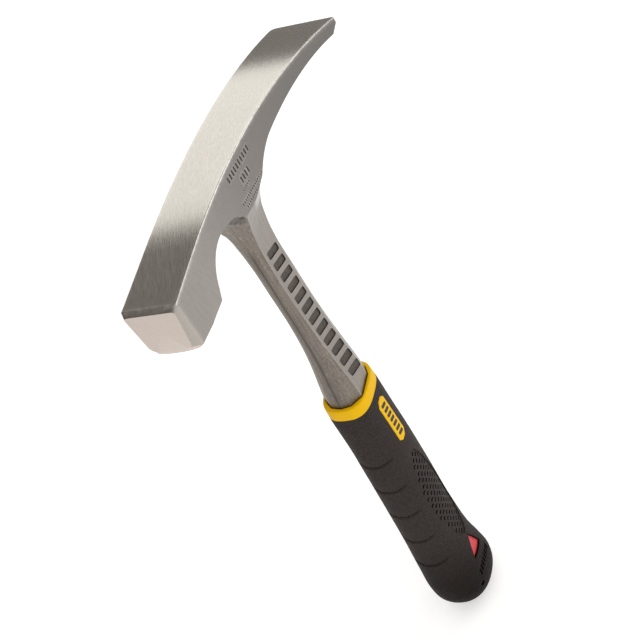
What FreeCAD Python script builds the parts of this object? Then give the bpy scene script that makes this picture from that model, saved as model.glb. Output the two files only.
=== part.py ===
"""Brick hammer: a one-piece steel head and shank with a tuning-fork tang, in a moulded grip.

Frame, in millimetres: the handle runs along +Z from the butt at z = 0 to the head on top, the striking
face looks along -X, the chisel blade along +X, and y = 0 is the plane of symmetry.
"""
import FreeCAD, Part
import math
import os
import re
import Sketcher

os.makedirs("parts", exist_ok=True)
doc = FreeCAD.newDocument("BrickHammer")

# ---------------------------------------------------------------- driving dimensions
sheet = doc.addObject("Spreadsheet::Sheet", "Dims")
aliases = []


def size(alias, value, note=""):
    """Write one plain number with its alias and a note into the next row of the sheet."""
    aliases.append(alias)
    row = len(aliases)
    sheet.set(f"A{row}", note)
    sheet.set(f"B{row}", str(value))
    sheet.setAlias(f"B{row}", alias)


# Head, seen from the side
size("pollReach", 76.0, "striking face to the handle's axis, along X")
size("bladeReach", 115.2, "handle's axis to the end of the blade")
size("headTop", 286.6, "top of the poll")
size("crownStart", 45.0, "where the level poll top turns into the crown, from the axis")
size("crownRadius", 424.0, "arc along the top of the blade")
size("crownDrop", 0.4, "fall of the poll top over its level stretch")
size("bladeDrop", 35.5, "fall of the top from the poll to the end of the blade")
size("bladeEnd", 3.4, "thickness of the blade's end")
size("edgeBevel", 6.5, "length of the ground bevel under the blade's end")
size("edgeBevelRise", 1.7, "height of the end's lower edge above the heel of the bevel")
size("underRadius", 263.0, "long arc under the blade")
size("crestX", 33.0, "highest point of the blade's underside, from the axis")
size("crestDrop", 21.7, "poll top down to that point")
size("rootRadius", 38.0, "arc from that point down to the shank's root")
size("rootBackX", 14.5, "back corner of the cheek over the shank")
size("rootDrop", 26.0, "poll top down to the cheek's lower edge over the shank")
size("rootFrontX", 13.0, "front corner of the cheek over the shank")
size("throatX", 22.0, "front end of the throat's straight flank")
size("throatDrop", 15.6, "poll top down to that point")
size("throatRadius", 18.0, "arch of the throat behind the poll")
size("heelX", 47.5, "back end of the arch")
size("heelDrop", 22.1, "poll top down to that point")
size("pollHeelX", 50.0, "lower back corner of the poll")
size("pollHeelDrop", 25.5, "poll top down to that corner")
size("faceHeight", 23.8, "height of the square striking face")
size("faceBevel", 2.2, "bevel round the striking face")
# Head, seen from above
size("faceWidth", 22.9, "width of the striking face, 7/8 inch")
size("bladeWidth", 29.8, "width of the blade's end")
size("cheekSag", 1.85, "how far the cheeks curve in from a straight taper")
# Grip, collar and shank
size("gripTop", 142.0, "butt to the sleeve's upper end")
size("collarHeight", 5.9, "height of the collar")
size("shankHalf", 3.9, "half thickness of the shank's flats at the waist")
size("shankFootHalf", 8.0, "half thickness of the flats where they enter the collar")
size("steelClearance", 0.3, "gap round the steel in the collar")
size("collarWall", 1.5, "wall of the collar at its narrow front")
size("collarFlare", 0.35, "how much the sleeve's upper end is wider than the collar's top")
size("sleeveWall", 3.0, "thickness of the soft sleeve")
size("mouldGap", 0.05, "parting between two mouldings that lie on each other")
# Tang and tuning fork inside the grip
size("tangFront", 5.6, "front of the tang, from the axis")
size("tangBack", 8.2, "back of the tang, from the axis")
size("tangThickness", 7.0, "thickness of the tang and the tines")
size("tineDepth", 4.2, "depth of one tine, along X")
size("forkRoot", 108.0, "height of the fork's root above the butt")
size("forkEnd", 34.0, "height of the tines' ends above the butt")
size("forkClearance", 1.2, "free room round the tines, so that they can ring")
size("damperHeight", 16.0, "height of the block between the tines")
size("bootHeight", 24.0, "height of the cap over the tines' ends")
size("bootWall", 1.5, "wall of the cap")
size("coreWall", 1.6, "least wall of the core outside the cap")
size("fitClearance", 0.1, "gap between pressed-in and moulded-in parts")
# Label plates and window inserts in the sides of the sleeve
size("plateWidth", 7.2, "width of a label plate")
size("plateHeight", 26.0, "length of a label plate")
size("plateCentreX", 1.6, "middle of a label plate, from the axis")
size("plateInset", 4.6, "sleeve's upper end down to the plate")
size("plateCorner", 1.6, "cut corners of the plate")
size("windowTop", 38.5, "upper corner of the three-cornered window")
size("windowBase", 27.4, "lower edge of the window")
size("windowFront", 4.4, "front corner of the window, from the axis")
size("windowBack", 7.0, "back corner of the window")
size("windowPeak", 1.4, "upper corner of the window, from the axis")
size("windowBow", 40.0, "radius of the window's slightly bowed sides")
size("windowRecess", 0.6, "depth of the insert below the sleeve's surface")
# Holes left by the pins that hold the core while the sleeve is moulded
size("pinRadius", 1.0, "radius of a pin hole")
size("pinHeight", 13.2, "height of the pin holes above the butt")
size("pinFrontX", 8.0, "front pin hole, from the axis")
size("pinBackX", 13.0, "back pin hole, from the axis")

# Stations of the grip from the butt up: share of gripTop, front, back, half thickness.
# Two more, at the sleeve's upper end and at the collar's top, follow the steel that the collar goes round.
gripStations = [
    (0.0, 1.5, 7.5, 3.6),
    (0.004, 4.4, 11.2, 6.0),
    (0.02, 8.6, 15.6, 9.0),
    (0.045, 12.8, 19.2, 11.8),
    (0.09, 16.6, 20.6, 13.6),
    (0.15, 18.3, 19.2, 13.8),
    (0.24, 18.0, 16.8, 12.9),
    (0.39, 16.4, 15.8, 12.0),
    (0.60, 14.8, 16.8, 11.7),
    (0.80, 13.4, 17.0, 11.3),
]
coreStation = 3
for index, (share, front, back, half) in enumerate(gripStations):
    size(f"gripShare_{index}", share, "height of this station, as a share of gripTop")
    size(f"gripFront_{index}", front, "front of the grip at this station, from the axis")
    size(f"gripBack_{index}", back, "back of the grip at this station")
    size(f"gripHalf_{index}", half, "half thickness of the grip at this station")

# Stations of the shank from the collar up to the head: share of the visible length,
# front and its half width, front of the flat, half thickness in units of shankHalf or shankFootHalf,
# back of the flat, back and its half width
shankStations = [
    (0.0, 10.2, 3.4, 4.6, "shankFootHalf", 7.0, 12.0, 4.4),
    (0.12, 8.6, 3.0, 3.6, "shankFootHalf * 0.86", 8.8, 12.2, 3.8),
    (0.25, 6.4, 2.0, 3.3, "shankHalf * 1.34", 9.5, 12.0, 3.0),
    (0.40, 5.6, 1.5, 3.2, "shankHalf * 1.06", 10.0, 11.9, 2.5),
    (0.58, 5.5, 1.3, 3.8, "shankHalf", 10.2, 12.0, 2.4),
    (0.72, 5.5, 1.6, 3.5, "shankHalf * 1.03", 10.5, 12.5, 2.6),
    (0.81, 5.6, 2.2, 2.8, "shankHalf * 1.2", 11.4, 14.6, 3.0),
    (0.88, 6.2, 3.4, 3.0, "shankHalf * 1.55", 12.8, 19.2, 3.6),
    (0.945, 8.6, 5.6, 5.0, "shankHalf * 2.1", 14.6, 27.0, 5.0),
    (1.06, 12.4, 7.6, 9.6, "faceWidth / 2 - 1.2", 18.0, 38.0, 7.0),
]
for index, (share, front, nose, flatFront, _, flatBack, back, spine) in enumerate(shankStations):
    size(f"shankShare_{index}", share, "height of this station, from the collar to the cheek's lower edge")
    size(f"shankFront_{index}", front, "front of the shank at this station, from the axis")
    size(f"shankNose_{index}", nose, "half width of that front")
    size(f"flatFront_{index}", flatFront, "front edge of the flat side")
    size(f"flatBack_{index}", flatBack, "back edge of the flat side")
    size(f"shankBack_{index}", back, "back of the shank at this station")
    size(f"shankSpine_{index}", spine, "half width of that back")
doc.recompute()


# ---------------------------------------------------------------- helpers
def formula(text):
    """Make a formula's bare names refer to the sheet."""
    def inSheet(match):
        word = match.group(0)
        return f"Dims.{word}" if word in aliases else word

    return re.sub(r"[A-Za-z]\w*", inSheet, text)


def bind(obj, **formulas):
    """Bind properties to formulas; a double underscore in a name stands for a dot."""
    for prop, text in formulas.items():
        obj.setExpression(prop.replace("__", "."), formula(text))


def number(obj, text):
    """Present value of a formula."""
    value = obj.evalExpression(formula(text))
    return float(getattr(value, "Value", value))


def newSketch(body, name, role, height=None):
    """Sketch on one of the body's own origin planes, raised by a formula."""
    sketch = body.newObject("Sketcher::SketchObject", name)
    plane = next(f for f in body.Origin.OriginFeatures if f.Role == role)
    sketch.AttachmentSupport = [(plane, "")]
    sketch.MapMode = "FlatFace"
    if height is not None:
        bind(sketch, AttachmentOffset__Base__z=height)
    return sketch


def outline(sketch, corners):
    """Closed loop through corners (across, up[, radius]).

    A radius bends the edge that leads on to the next corner; a minus sign in front of it puts the arc's
    centre on the right-hand side of the way, otherwise it lies on the left.
    """
    at = [FreeCAD.Vector(number(sketch, c[0]), number(sketch, c[1]), 0) for c in corners]
    ends = []
    for index, corner in enumerate(corners):
        start = at[index]
        stop = at[(index + 1) % len(at)]
        if len(corner) == 2:
            edge = sketch.addGeometry(Part.LineSegment(start, stop), False)
            ends.append((edge, 1, 2))
            continue
        leftCentre = not corner[2].startswith("-")
        radius = number(sketch, corner[2].lstrip("-"))
        chord = stop - start
        side = FreeCAD.Vector(-chord.y, chord.x, 0).normalize() * (1 if leftCentre else -1)
        centre = (start + stop) / 2 + side * math.sqrt(radius ** 2 - (chord.Length / 2) ** 2)
        first, last = (start, stop) if leftCentre else (stop, start)
        angles = [math.atan2(p.y - centre.y, p.x - centre.x) for p in (first, last)]
        circle = Part.Circle(centre, FreeCAD.Vector(0, 0, 1), radius)
        edge = sketch.addGeometry(Part.ArcOfCircle(circle, angles[0], angles[1]), False)
        ends.append((edge, 1, 2) if leftCentre else (edge, 2, 1))
        rule = sketch.addConstraint(Sketcher.Constraint("Radius", edge, radius))
        sketch.setExpression(f"Constraints[{rule}]", formula(corner[2].lstrip("-")))
    for index, corner in enumerate(corners):
        edge, startEnd, stopEnd = ends[index]
        following, nextStart, _ = ends[(index + 1) % len(ends)]
        sketch.addConstraint(Sketcher.Constraint("Coincident", edge, stopEnd, following, nextStart))
        wanted = (("DistanceX", corner[0], at[index].x), ("DistanceY", corner[1], at[index].y))
        for kind, text, value in wanted:
            rule = sketch.addConstraint(Sketcher.Constraint(kind, -1, 1, edge, startEnd, value))
            sketch.setExpression(f"Constraints[{rule}]", formula(text))


def edgesWhere(feature, test):
    """Names of a feature's edges that pass a test."""
    return [f"Edge{n + 1}" for n, edge in enumerate(feature.Shape.Edges) if test(edge)]


def cut(label, base, tool):
    result = doc.addObject("Part::Cut", label)
    result.Base = base
    result.Tool = tool
    return result


def common(label, base, tool):
    result = doc.addObject("Part::Common", label)
    result.Base = base
    result.Tool = tool
    return result


def box(label, x, y, z, length, width, height):
    """Box given by formulas for its lowest corner and its sides."""
    result = doc.addObject("Part::Box", label)
    bind(result, Length=length, Width=width, Height=height,
         Placement__Base__x=x, Placement__Base__y=y, Placement__Base__z=z)
    return result


# ---------------------------------------------------------------- forging: head, shank, tang and fork
forging = doc.addObject("PartDesign::Body", "Forging")
forging.Label = "forged_head_and_shank"

side = newSketch(forging, "HeadSide", "XZ_Plane")
outline(side, [
    ("-pollReach", "headTop"),
    ("-crownStart", "headTop - crownDrop", "-crownRadius"),
    ("bladeReach", "headTop - bladeDrop"),
    ("bladeReach", "headTop - bladeDrop - bladeEnd"),
    ("bladeReach - edgeBevel", "headTop - bladeDrop - bladeEnd - edgeBevelRise", "underRadius"),
    ("crestX", "headTop - crestDrop", "rootRadius"),
    ("rootBackX", "headTop - rootDrop"),
    ("-rootFrontX", "headTop - rootDrop + 2"),
    ("-throatX", "headTop - throatDrop", "throatRadius"),
    ("-heelX", "headTop - heelDrop"),
    ("-pollHeelX", "headTop - pollHeelDrop"),
    ("-pollReach", "headTop - faceHeight"),
])
head = forging.newObject("PartDesign::Pad", "HeadPad")
head.Profile = side
head.Midplane = True
bind(head, Length="bladeWidth + 4")
doc.recompute()

plan = newSketch(forging, "HeadPlan", "XY_Plane")
cheekRadius = "((pollReach + bladeReach) ^ 2 / (8 * cheekSag))"
for way in ("", "-"):
    bend = cheekRadius if way == "" else "-" + cheekRadius
    outline(plan, [
        ("-pollReach", f"{way}faceWidth / 2", "-" + cheekRadius if way == "-" else cheekRadius),
        ("bladeReach", f"{way}bladeWidth / 2"),
        ("bladeReach + 5", f"{way}bladeWidth / 2"),
        ("bladeReach + 5", f"{way}(bladeWidth / 2 + 5)"),
        ("-pollReach - 5", f"{way}(bladeWidth / 2 + 5)"),
        ("-pollReach - 5", f"{way}faceWidth / 2"),
    ])
cheeks = forging.newObject("PartDesign::Pocket", "CheekPocket")
cheeks.Profile = plan
cheeks.Type = "ThroughAll"
cheeks.Midplane = True
doc.recompute()

# Shank: a loft up its stations into the underside of the head
shankLength = "(headTop - rootDrop - gripTop - collarHeight)"


def shankSection(name, index, height):
    """Eight-sided section of the forging at one station, with a flat on each side."""
    flatHalf = shankStations[index][4]
    ahead = [
        (f"-shankFront_{index}", f"shankNose_{index}"),
        (f"-flatFront_{index}", flatHalf),
        (f"flatBack_{index}", flatHalf),
        (f"shankBack_{index}", f"shankSpine_{index}"),
    ]
    mirrored = [(across, f"-({up})") for across, up in reversed(ahead)]
    section = newSketch(forging, name, "XY_Plane", height)
    outline(section, ahead + mirrored)
    return section


sections = [shankSection(f"ShankSection{n}", n, f"gripTop + collarHeight + shankShare_{n} * {shankLength}")
            for n in range(len(shankStations))]
shank = forging.newObject("PartDesign::AdditiveLoft", "ShankLoft")
shank.Profile = sections[0]
shank.Sections = sections[1:]
doc.recompute()

foot = forging.newObject("PartDesign::Pad", "ShankFoot")
foot.Profile = shankSection("FootSection", 0, "gripTop")
bind(foot, Length="collarHeight")
doc.recompute()

# Tang with the fork: two tines with a round root between them
tangSide = newSketch(forging, "TangSide", "XZ_Plane")
slotRadius = "((tangFront + tangBack - 2 * tineDepth) / 2)"
outline(tangSide, [
    ("-tangFront", "gripTop + 1"),
    ("-tangFront", "forkEnd"),
    ("-tangFront + tineDepth", "forkEnd"),
    ("-tangFront + tineDepth", "forkRoot", "-" + slotRadius + " * 1.0001"),
    ("tangBack - tineDepth", "forkRoot"),
    ("tangBack - tineDepth", "forkEnd"),
    ("tangBack", "forkEnd"),
    ("tangBack", "gripTop + 1"),
])
tang = forging.newObject("PartDesign::Pad", "TangPad")
tang.Profile = tangSide
tang.Midplane = True
bind(tang, Length="tangThickness")
doc.recompute()

faceX = -number(sheet, "pollReach")


def roundTheFace(edge):
    return abs(edge.BoundBox.XMin - faceX) < 0.01 and abs(edge.BoundBox.XMax - faceX) < 0.01


bevel = forging.newObject("PartDesign::Chamfer", "FaceBevel")
bevel.Base = (tang, edgesWhere(tang, roundTheFace))
bind(bevel, Size="faceBevel")
doc.recompute()
forging.Tip = bevel


# ---------------------------------------------------------------- grip: outer and inner forms
lastStation = len(gripStations) + 1


def gripStation(index):
    """Height, front, back and half thickness of the grip at one station, as formulas."""
    if index < len(gripStations):
        return f"gripTop * gripShare_{index}", f"gripFront_{index}", f"gripBack_{index}", f"gripHalf_{index}"
    flare = "0" if index == lastStation else "collarFlare"
    height = "gripTop + collarHeight" if index == lastStation else "gripTop"
    around = f"steelClearance + {flare}"
    return (height, f"shankFront_0 + {around} + collarWall", f"shankBack_0 + {around} + 2 * collarWall",
            f"shankFootHalf + {around} + 1.2 * collarWall")


def gripLoft(label, inset, first, last):
    """Loft of ellipses up the grip's stations, a given distance inside the outer surface."""
    rings = []
    for index in range(first, last + 1):
        height, front, back, half = gripStation(index)
        ring = doc.addObject("Part::Ellipse", f"{label}Ring{index}")
        bind(ring, MajorRadius=f"({front} + {back}) / 2 - ({inset})", MinorRadius=f"{half} - ({inset})",
             Placement__Base__x=f"({back} - ({front})) / 2", Placement__Base__z=height)
        rings.append(ring)
    loft = doc.addObject("Part::Loft", label)
    loft.Sections = rings
    loft.Solid = True
    return loft


outerForm = gripLoft("GripForm", "0", 0, lastStation)
boreForm = gripLoft("SleeveBore", "sleeveWall", coreStation, lastStation)
coreForm = gripLoft("CoreForm", "sleeveWall + mouldGap", coreStation, lastStation)
insertForm = gripLoft("InsertForm", "windowRecess", coreStation, lastStation)
bootForm = gripLoft("BootForm", "sleeveWall + mouldGap + coreWall + fitClearance", coreStation, lastStation)
pocketForm = gripLoft("PocketForm", "sleeveWall + mouldGap + coreWall", coreStation, lastStation)
sleeveRange = box("SleeveRange", "-60", "-60", "-1", "120", "120", "gripTop + 1")
coreRange = box("CoreRange", "-60", "-60", "-1", "120", "120", "gripTop + 1 - mouldGap")
collarRange = box("CollarRange", "-60", "-60", "gripTop + mouldGap", "120", "120", "collarHeight + 1")
leftSide = box("LeftSide", "-60", "-60", "0", "120", "60", "gripTop")
rightSide = box("RightSide", "-60", "0", "0", "120", "60", "gripTop")
doc.recompute()


def sidePrism(name, corners):
    """Prism through both sides of the grip, from its outline seen from the side."""
    body = doc.addObject("PartDesign::Body", name)
    sketch = newSketch(body, name + "Outline", "XZ_Plane")
    outline(sketch, corners)
    pad = body.newObject("PartDesign::Pad", name + "Pad")
    pad.Profile = sketch
    pad.Midplane = True
    pad.Length = 80
    return body


def plateCorners(spare):
    """Rectangle with cut corners, widened all round by a spare."""
    x1 = f"plateCentreX - plateWidth / 2 - ({spare})"
    x2 = f"plateCentreX + plateWidth / 2 + ({spare})"
    z2 = f"gripTop - plateInset + ({spare})"
    z1 = f"gripTop - plateInset - plateHeight - ({spare})"
    return [
        (f"{x1} + plateCorner", z1), (f"{x2} - plateCorner", z1),
        (x2, f"{z1} + plateCorner"), (x2, f"{z2} - plateCorner"),
        (f"{x2} - plateCorner", z2), (f"{x1} + plateCorner", z2),
        (x1, f"{z2} - plateCorner"), (x1, f"{z1} + plateCorner"),
    ]


def windowCorners(spare):
    """Three-cornered window with slightly bowed sides, widened by a spare."""
    return [
        (f"-windowFront - 2 * ({spare})", f"windowBase - ({spare})", "windowBow"),
        (f"windowBack + 2 * ({spare})", f"windowBase - ({spare})", "windowBow"),
        ("windowPeak", f"windowTop + 2 * ({spare})", "windowBow"),
    ]


plateWindow = sidePrism("PlateWindow", plateCorners("fitClearance"))
plateBlank = sidePrism("PlateBlank", plateCorners("0"))
insertWindow = sidePrism("InsertWindow", windowCorners("fitClearance"))
insertBlank = sidePrism("InsertBlank", windowCorners("0"))
doc.recompute()

# ---------------------------------------------------------------- sleeve
shell = cut("SleeveShell", common("SleeveBody", outerForm, sleeveRange), boreForm)
sleeve = cut("SleeveWithPlates", shell, plateWindow)
sleeve = cut("SleeveWithWindows", sleeve, insertWindow)
for name, across in (("Front", "-pinFrontX"), ("Back", "pinBackX")):
    pin = doc.addObject("Part::Cylinder", f"PinHole{name}")
    bind(pin, Radius="pinRadius", Placement__Base__x=across, Placement__Base__z="pinHeight")
    pin.Height = 80
    pin.Placement.Rotation = FreeCAD.Rotation(FreeCAD.Vector(1, 0, 0), 90)
    bind(pin, Placement__Base__y="40")
    sleeve = cut(f"SleeveWithPin{name}", sleeve, pin)
sleeve.Label = "grip_sleeve"

# ---------------------------------------------------------------- plates and inserts
insertShell = cut("InsertShell", insertForm, boreForm)
subParts = [forging, sleeve]
for name, half in (("left", leftSide), ("right", rightSide)):
    plateShell = common(f"PlateShell_{name}", shell, half)
    plate = common(f"Plate_{name}", plateShell, plateBlank)
    plate.Label = f"label_plate_{name}"
    insertSide = common(f"InsertSide_{name}", insertShell, half)
    insert = common(f"Insert_{name}", insertSide, insertBlank)
    insert.Label = f"window_insert_{name}"
    subParts += [plate, insert]

# ---------------------------------------------------------------- collar
steelHole = doc.addObject("PartDesign::Body", "SteelHole")
spare = "steelClearance"
flatHalf = shankStations[0][4]
ahead = [
    (f"-shankFront_0 - {spare}", f"shankNose_0 + {spare} / 2"),
    (f"-flatFront_0 - {spare} / 2", f"{flatHalf} + {spare}"),
    (f"flatBack_0 + {spare} / 2", f"{flatHalf} + {spare}"),
    (f"shankBack_0 + {spare}", f"shankSpine_0 + {spare} / 2"),
]
holeSketch = newSketch(steelHole, "SteelHoleOutline", "XY_Plane", "gripTop - 1")
outline(holeSketch, ahead + [(across, f"-({up})") for across, up in reversed(ahead)])
holePad = steelHole.newObject("PartDesign::Pad", "SteelHolePad")
holePad.Profile = holeSketch
bind(holePad, Length="collarHeight + 2")
collar = cut("Collar", common("CollarRing", outerForm, collarRange), steelHole)
collar.Label = "collar"
subParts.append(collar)

# ---------------------------------------------------------------- core, boot and damper
half = "tangThickness / 2"

def roundTang(label, spare, bottom, height):
    """Box round the tang, wider by a spare on all four sides."""
    return box(label, f"-tangFront - ({spare})", f"-({half}) - ({spare})", bottom,
               f"tangFront + tangBack + 2 * ({spare})", f"tangThickness + 2 * ({spare})", height)


tangSlot = roundTang("TangSlot", "fitClearance", "forkRoot", "gripTop - forkRoot")
forkRoom = roundTang("ForkRoom", "forkClearance", "forkEnd", "forkRoot + forkClearance - forkEnd")
bootPocket = roundTang("BootPocket", "bootWall + 2 * fitClearance",
                       "forkEnd - bootWall - fitClearance", "bootHeight + 2 * fitClearance")
forkRoomInside = common("ForkRoomInside", forkRoom, pocketForm)
bootPocketInside = common("BootPocketInside", bootPocket, pocketForm)
core = common("CoreBody", coreForm, coreRange)
for tool in (tangSlot, forkRoomInside, bootPocketInside):
    core = cut(f"CoreWith{tool.Name}", core, tool)
core.Label = "handle_core"

bootBlock = roundTang("BootBlock", "bootWall + fitClearance", "forkEnd - bootWall", "bootHeight")
bootBore = roundTang("BootBore", "fitClearance", "forkEnd", "bootHeight")
boot = cut("Boot", common("BootOutside", bootBlock, bootForm), bootBore)
boot.Label = "fork_boot"

damper = box("Damper", "-tangFront + tineDepth + fitClearance", f"-({half})", "forkEnd",
             "tangFront + tangBack - 2 * tineDepth - 2 * fitClearance", "tangThickness", "damperHeight")
damper.Label = "fork_damper"
subParts += [core, boot, damper]
doc.recompute()

# ---------------------------------------------------------------- checks and export
for obj in doc.Objects:
    if {"Invalid", "Error"} & set(obj.State):
        raise RuntimeError(f"{obj.Label} failed: {obj.State}")
for part in subParts:
    if part.Shape.isNull() or not part.Shape.isValid() or len(part.Shape.Solids) != 1:
        raise RuntimeError(f"{part.Label} is not one sound solid")
for part in subParts:
    part.Shape.exportStep(f"parts/{part.Label}.step")
    print(f"{part.Label}: {part.Shape.Volume / 1000:.2f} cm3")
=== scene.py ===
import math

import bmesh
import bpy
import numpy as np
from mathutils import Matrix


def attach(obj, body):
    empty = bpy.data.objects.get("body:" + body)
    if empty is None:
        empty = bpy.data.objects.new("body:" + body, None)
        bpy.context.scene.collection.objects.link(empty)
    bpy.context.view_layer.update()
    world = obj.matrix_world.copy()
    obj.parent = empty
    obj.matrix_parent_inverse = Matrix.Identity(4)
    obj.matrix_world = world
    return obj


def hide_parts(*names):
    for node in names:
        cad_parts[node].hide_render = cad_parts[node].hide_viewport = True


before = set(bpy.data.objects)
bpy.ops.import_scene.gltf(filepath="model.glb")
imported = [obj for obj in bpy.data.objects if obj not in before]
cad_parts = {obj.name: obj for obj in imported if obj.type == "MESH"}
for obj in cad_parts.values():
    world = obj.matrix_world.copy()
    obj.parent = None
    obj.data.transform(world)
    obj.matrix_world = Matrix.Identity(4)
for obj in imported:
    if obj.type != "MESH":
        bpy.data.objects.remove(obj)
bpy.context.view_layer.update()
scene = bpy.context.scene
scene.view_settings.view_transform = "Standard"
mm = 0.001


# surfaces are worked out with numpy, in millimetres until they become a mesh
def curveThrough(rows, at):
    # cubic through rows of values; the slope at each row comes from its two neighbours
    rows = np.asarray(rows, float)
    x, y = rows[:, 0], rows[:, 1:]
    slope = np.gradient(y, x, axis=0)
    at = np.clip(at, x[0], x[-1])
    k = np.clip(np.searchsorted(x, at, side="right") - 1, 0, len(x) - 2)
    h = (x[k + 1] - x[k])[:, None]
    t = (at - x[k])[:, None] / h
    return ((2 * t**3 - 3 * t**2 + 1) * y[k] + (t**3 - 2 * t**2 + t) * h * slope[k]
            + (3 * t**2 - 2 * t**3) * y[k + 1] + (t**3 - t**2) * h * slope[k + 1])


def closedCurve(points, count):
    # smooth loop through points, evenly spaced by distance along it
    points = np.asarray(points, float)
    looped = np.vstack([points[-3:], points, points[:4]])
    step = np.hypot(*np.diff(looped, axis=0).T)
    length = np.concatenate([[0], np.cumsum(step)])
    at = np.linspace(length[3], length[3 + len(points)], count, endpoint=False)
    return curveThrough(np.column_stack([length, looped]), at)


def cornerLoop(corners, perSide, soften):
    # loop of straight sides; samples crowd at the corners, and a few averaging passes round them
    corners = np.asarray(corners, float)
    u = (0.5 - 0.5 * np.cos(np.pi * np.arange(perSide) / perSide))[None, :, None]
    loop = (corners[:, None] * (1 - u) + np.roll(corners, -1, 0)[:, None] * u).reshape(-1, 2)
    for _ in range(soften):
        loop = 0.25 * np.roll(loop, 1, 0) + 0.5 * loop + 0.25 * np.roll(loop, -1, 0)
    return loop


def arcOver(x, a, b, radius):
    # height of the arc from point a to point b that bulges upwards
    chord = math.hypot(b[0] - a[0], b[1] - a[1])
    reach = math.sqrt(radius**2 - chord**2 / 4)
    cx = (a[0] + b[0]) / 2 + (b[1] - a[1]) / chord * reach
    cz = (a[1] + b[1]) / 2 - (b[0] - a[0]) / chord * reach
    return cz + np.sqrt(np.maximum(radius**2 - (x - cx) ** 2, 0))


def finishMesh(name, points, faces, materials, faceSlots=None, values=None, sharpAngle=30):
    # points in millimetres become a mesh object at the origin, smooth except at sharp edges
    mesh = bpy.data.meshes.new(name)
    mesh.from_pydata((np.asarray(points) * mm).tolist(), [], faces)
    for material in materials:
        mesh.materials.append(material)
    if faceSlots is not None:
        mesh.polygons.foreach_set("material_index", np.asarray(faceSlots, np.int32))
    for label, column in (values or {}).items():
        layer = mesh.attributes.new(label, "FLOAT", "POINT")
        layer.data.foreach_set("value", np.asarray(column, np.float32))
    mesh.shade_smooth()
    mesh.set_sharp_from_angle(angle=math.radians(sharpAngle))
    mesh.update()
    piece = bpy.data.objects.new(name, mesh)
    scene.collection.objects.link(piece)
    return piece


def gridFaces(rows, columns, wrapRows=False):
    # quads of a grid whose columns close into rings, as rows of four point numbers
    r = np.arange(rows if wrapRows else rows - 1)[:, None]
    c = np.arange(columns)[None, :]
    here, up = r * columns, (r + 1) % rows * columns
    right = (c + 1) % columns
    return np.stack([here + c, here + right, up + right, up + c], -1).reshape(-1, 4)


def poleFans(rows, columns):
    # triangles from the first and the last ring to the two poles, which are numbered after the grid
    c = np.arange(columns)
    after, top, pole = (c + 1) % columns, (rows - 1) * columns, rows * columns
    low = np.stack([after, c, np.full(columns, pole)], -1)
    high = np.stack([top + c, top + after, np.full(columns, pole + 1)], -1)
    return np.concatenate([low, high])


def ringShell(grid, firstPole=None):
    # rings stacked along a piece, each end closed by a fan to a pole
    rows, columns = grid.shape[:2]
    first = grid[0].mean(0) if firstPole is None else firstPole
    faces = gridFaces(rows, columns).tolist() + poleFans(rows, columns).tolist()
    return np.vstack([grid.reshape(-1, 3), first, grid[-1].mean(0)]), faces


def sideShells(loops, steps, skin, side):
    # closed shells on one side of the tool: each loop (x, z) is scaled about its middle and lifted
    # off the skin step by step; skin(x, z) is the half thickness there
    loops = np.asarray(loops, float)
    if side > 0:
        loops = loops[:, ::-1]
    shapes, count = loops.shape[:2]
    middle = loops.mean(1, keepdims=True)
    scale = np.array([s[0] for s in steps])[None, :, None, None]
    lift = np.array([s[1] for s in steps], float)[None, :, None]
    flat = middle[:, None] + (loops - middle)[:, None] * scale
    y = side * (skin(flat[..., 0], flat[..., 1]) + lift)
    grid = np.stack([flat[..., 0], y, flat[..., 1]], -1)
    ends = grid[:, [0, -1]].mean(2)
    perShape = len(steps) * count + 2
    points = np.concatenate([grid.reshape(shapes, -1, 3), ends], 1).reshape(-1, 3)
    shift = (np.arange(shapes) * perShape)[:, None, None]
    quads = (gridFaces(len(steps), count)[None] + shift).reshape(-1, 4)
    fans = (poleFans(len(steps), count)[None] + shift).reshape(-1, 3)
    return points, quads.tolist() + fans.tolist()


def together(shells):
    # several shells as one list of points and faces
    points, faces, start = [], [], 0
    for somePoints, someFaces in shells:
        points.append(somePoints)
        faces += [[index + start for index in face] for face in someFaces]
        start += len(somePoints)
    return np.vstack(points), faces


def belong(piece, node):
    # every piece rides the one body and stands in for a CAD node
    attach(piece, "root")
    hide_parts(node)


def pocket(depth, taper, above, inner=0.5):
    # the steps of a cut: the middle of its floor, the floor's edge, and its mouth above the skin
    return [(inner, -depth), (taper, -depth), (1.0, above)]


def carve(piece, cuts):
    # takes shells out of a piece exactly; each cut is a shell and the material number of its faces,
    # or one number for each face
    points, faces = together([shell for shell, _ in cuts])
    slots = np.concatenate([np.full(len(shell[1]), slot) for shell, slot in cuts])
    tool = finishMesh("carvingTool", points, faces, piece.data.materials, slots)
    cutter = piece.modifiers.new("carve", "BOOLEAN")
    cutter.operation = "DIFFERENCE"
    cutter.solver = "EXACT"
    cutter.object = tool
    graph = bpy.context.evaluated_depsgraph_get()
    cutMesh = bpy.data.meshes.new_from_object(
        piece.evaluated_get(graph), preserve_all_data_layers=True, depsgraph=graph)
    piece.modifiers.clear()
    piece.data = cutMesh
    # faces that the cut left with many corners become triangles
    net = bmesh.new()
    net.from_mesh(cutMesh)
    bmesh.ops.triangulate(net, faces=[f for f in net.faces if len(f.verts) > 4])
    bmesh.ops.dissolve_degenerate(net, dist=2e-8, edges=net.edges)
    net.to_mesh(cutMesh)
    net.free()
    cutMesh.set_sharp_from_angle(angle=math.radians(30))
    bpy.data.objects.remove(tool)


def setInputs(tree, made, inputs):
    # an input is either a value or the socket that feeds it
    for key, value in inputs.items():
        if isinstance(value, bpy.types.NodeSocket):
            tree.links.new(value, made.inputs[key])
        else:
            made.inputs[key].default_value = value
    return made


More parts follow.
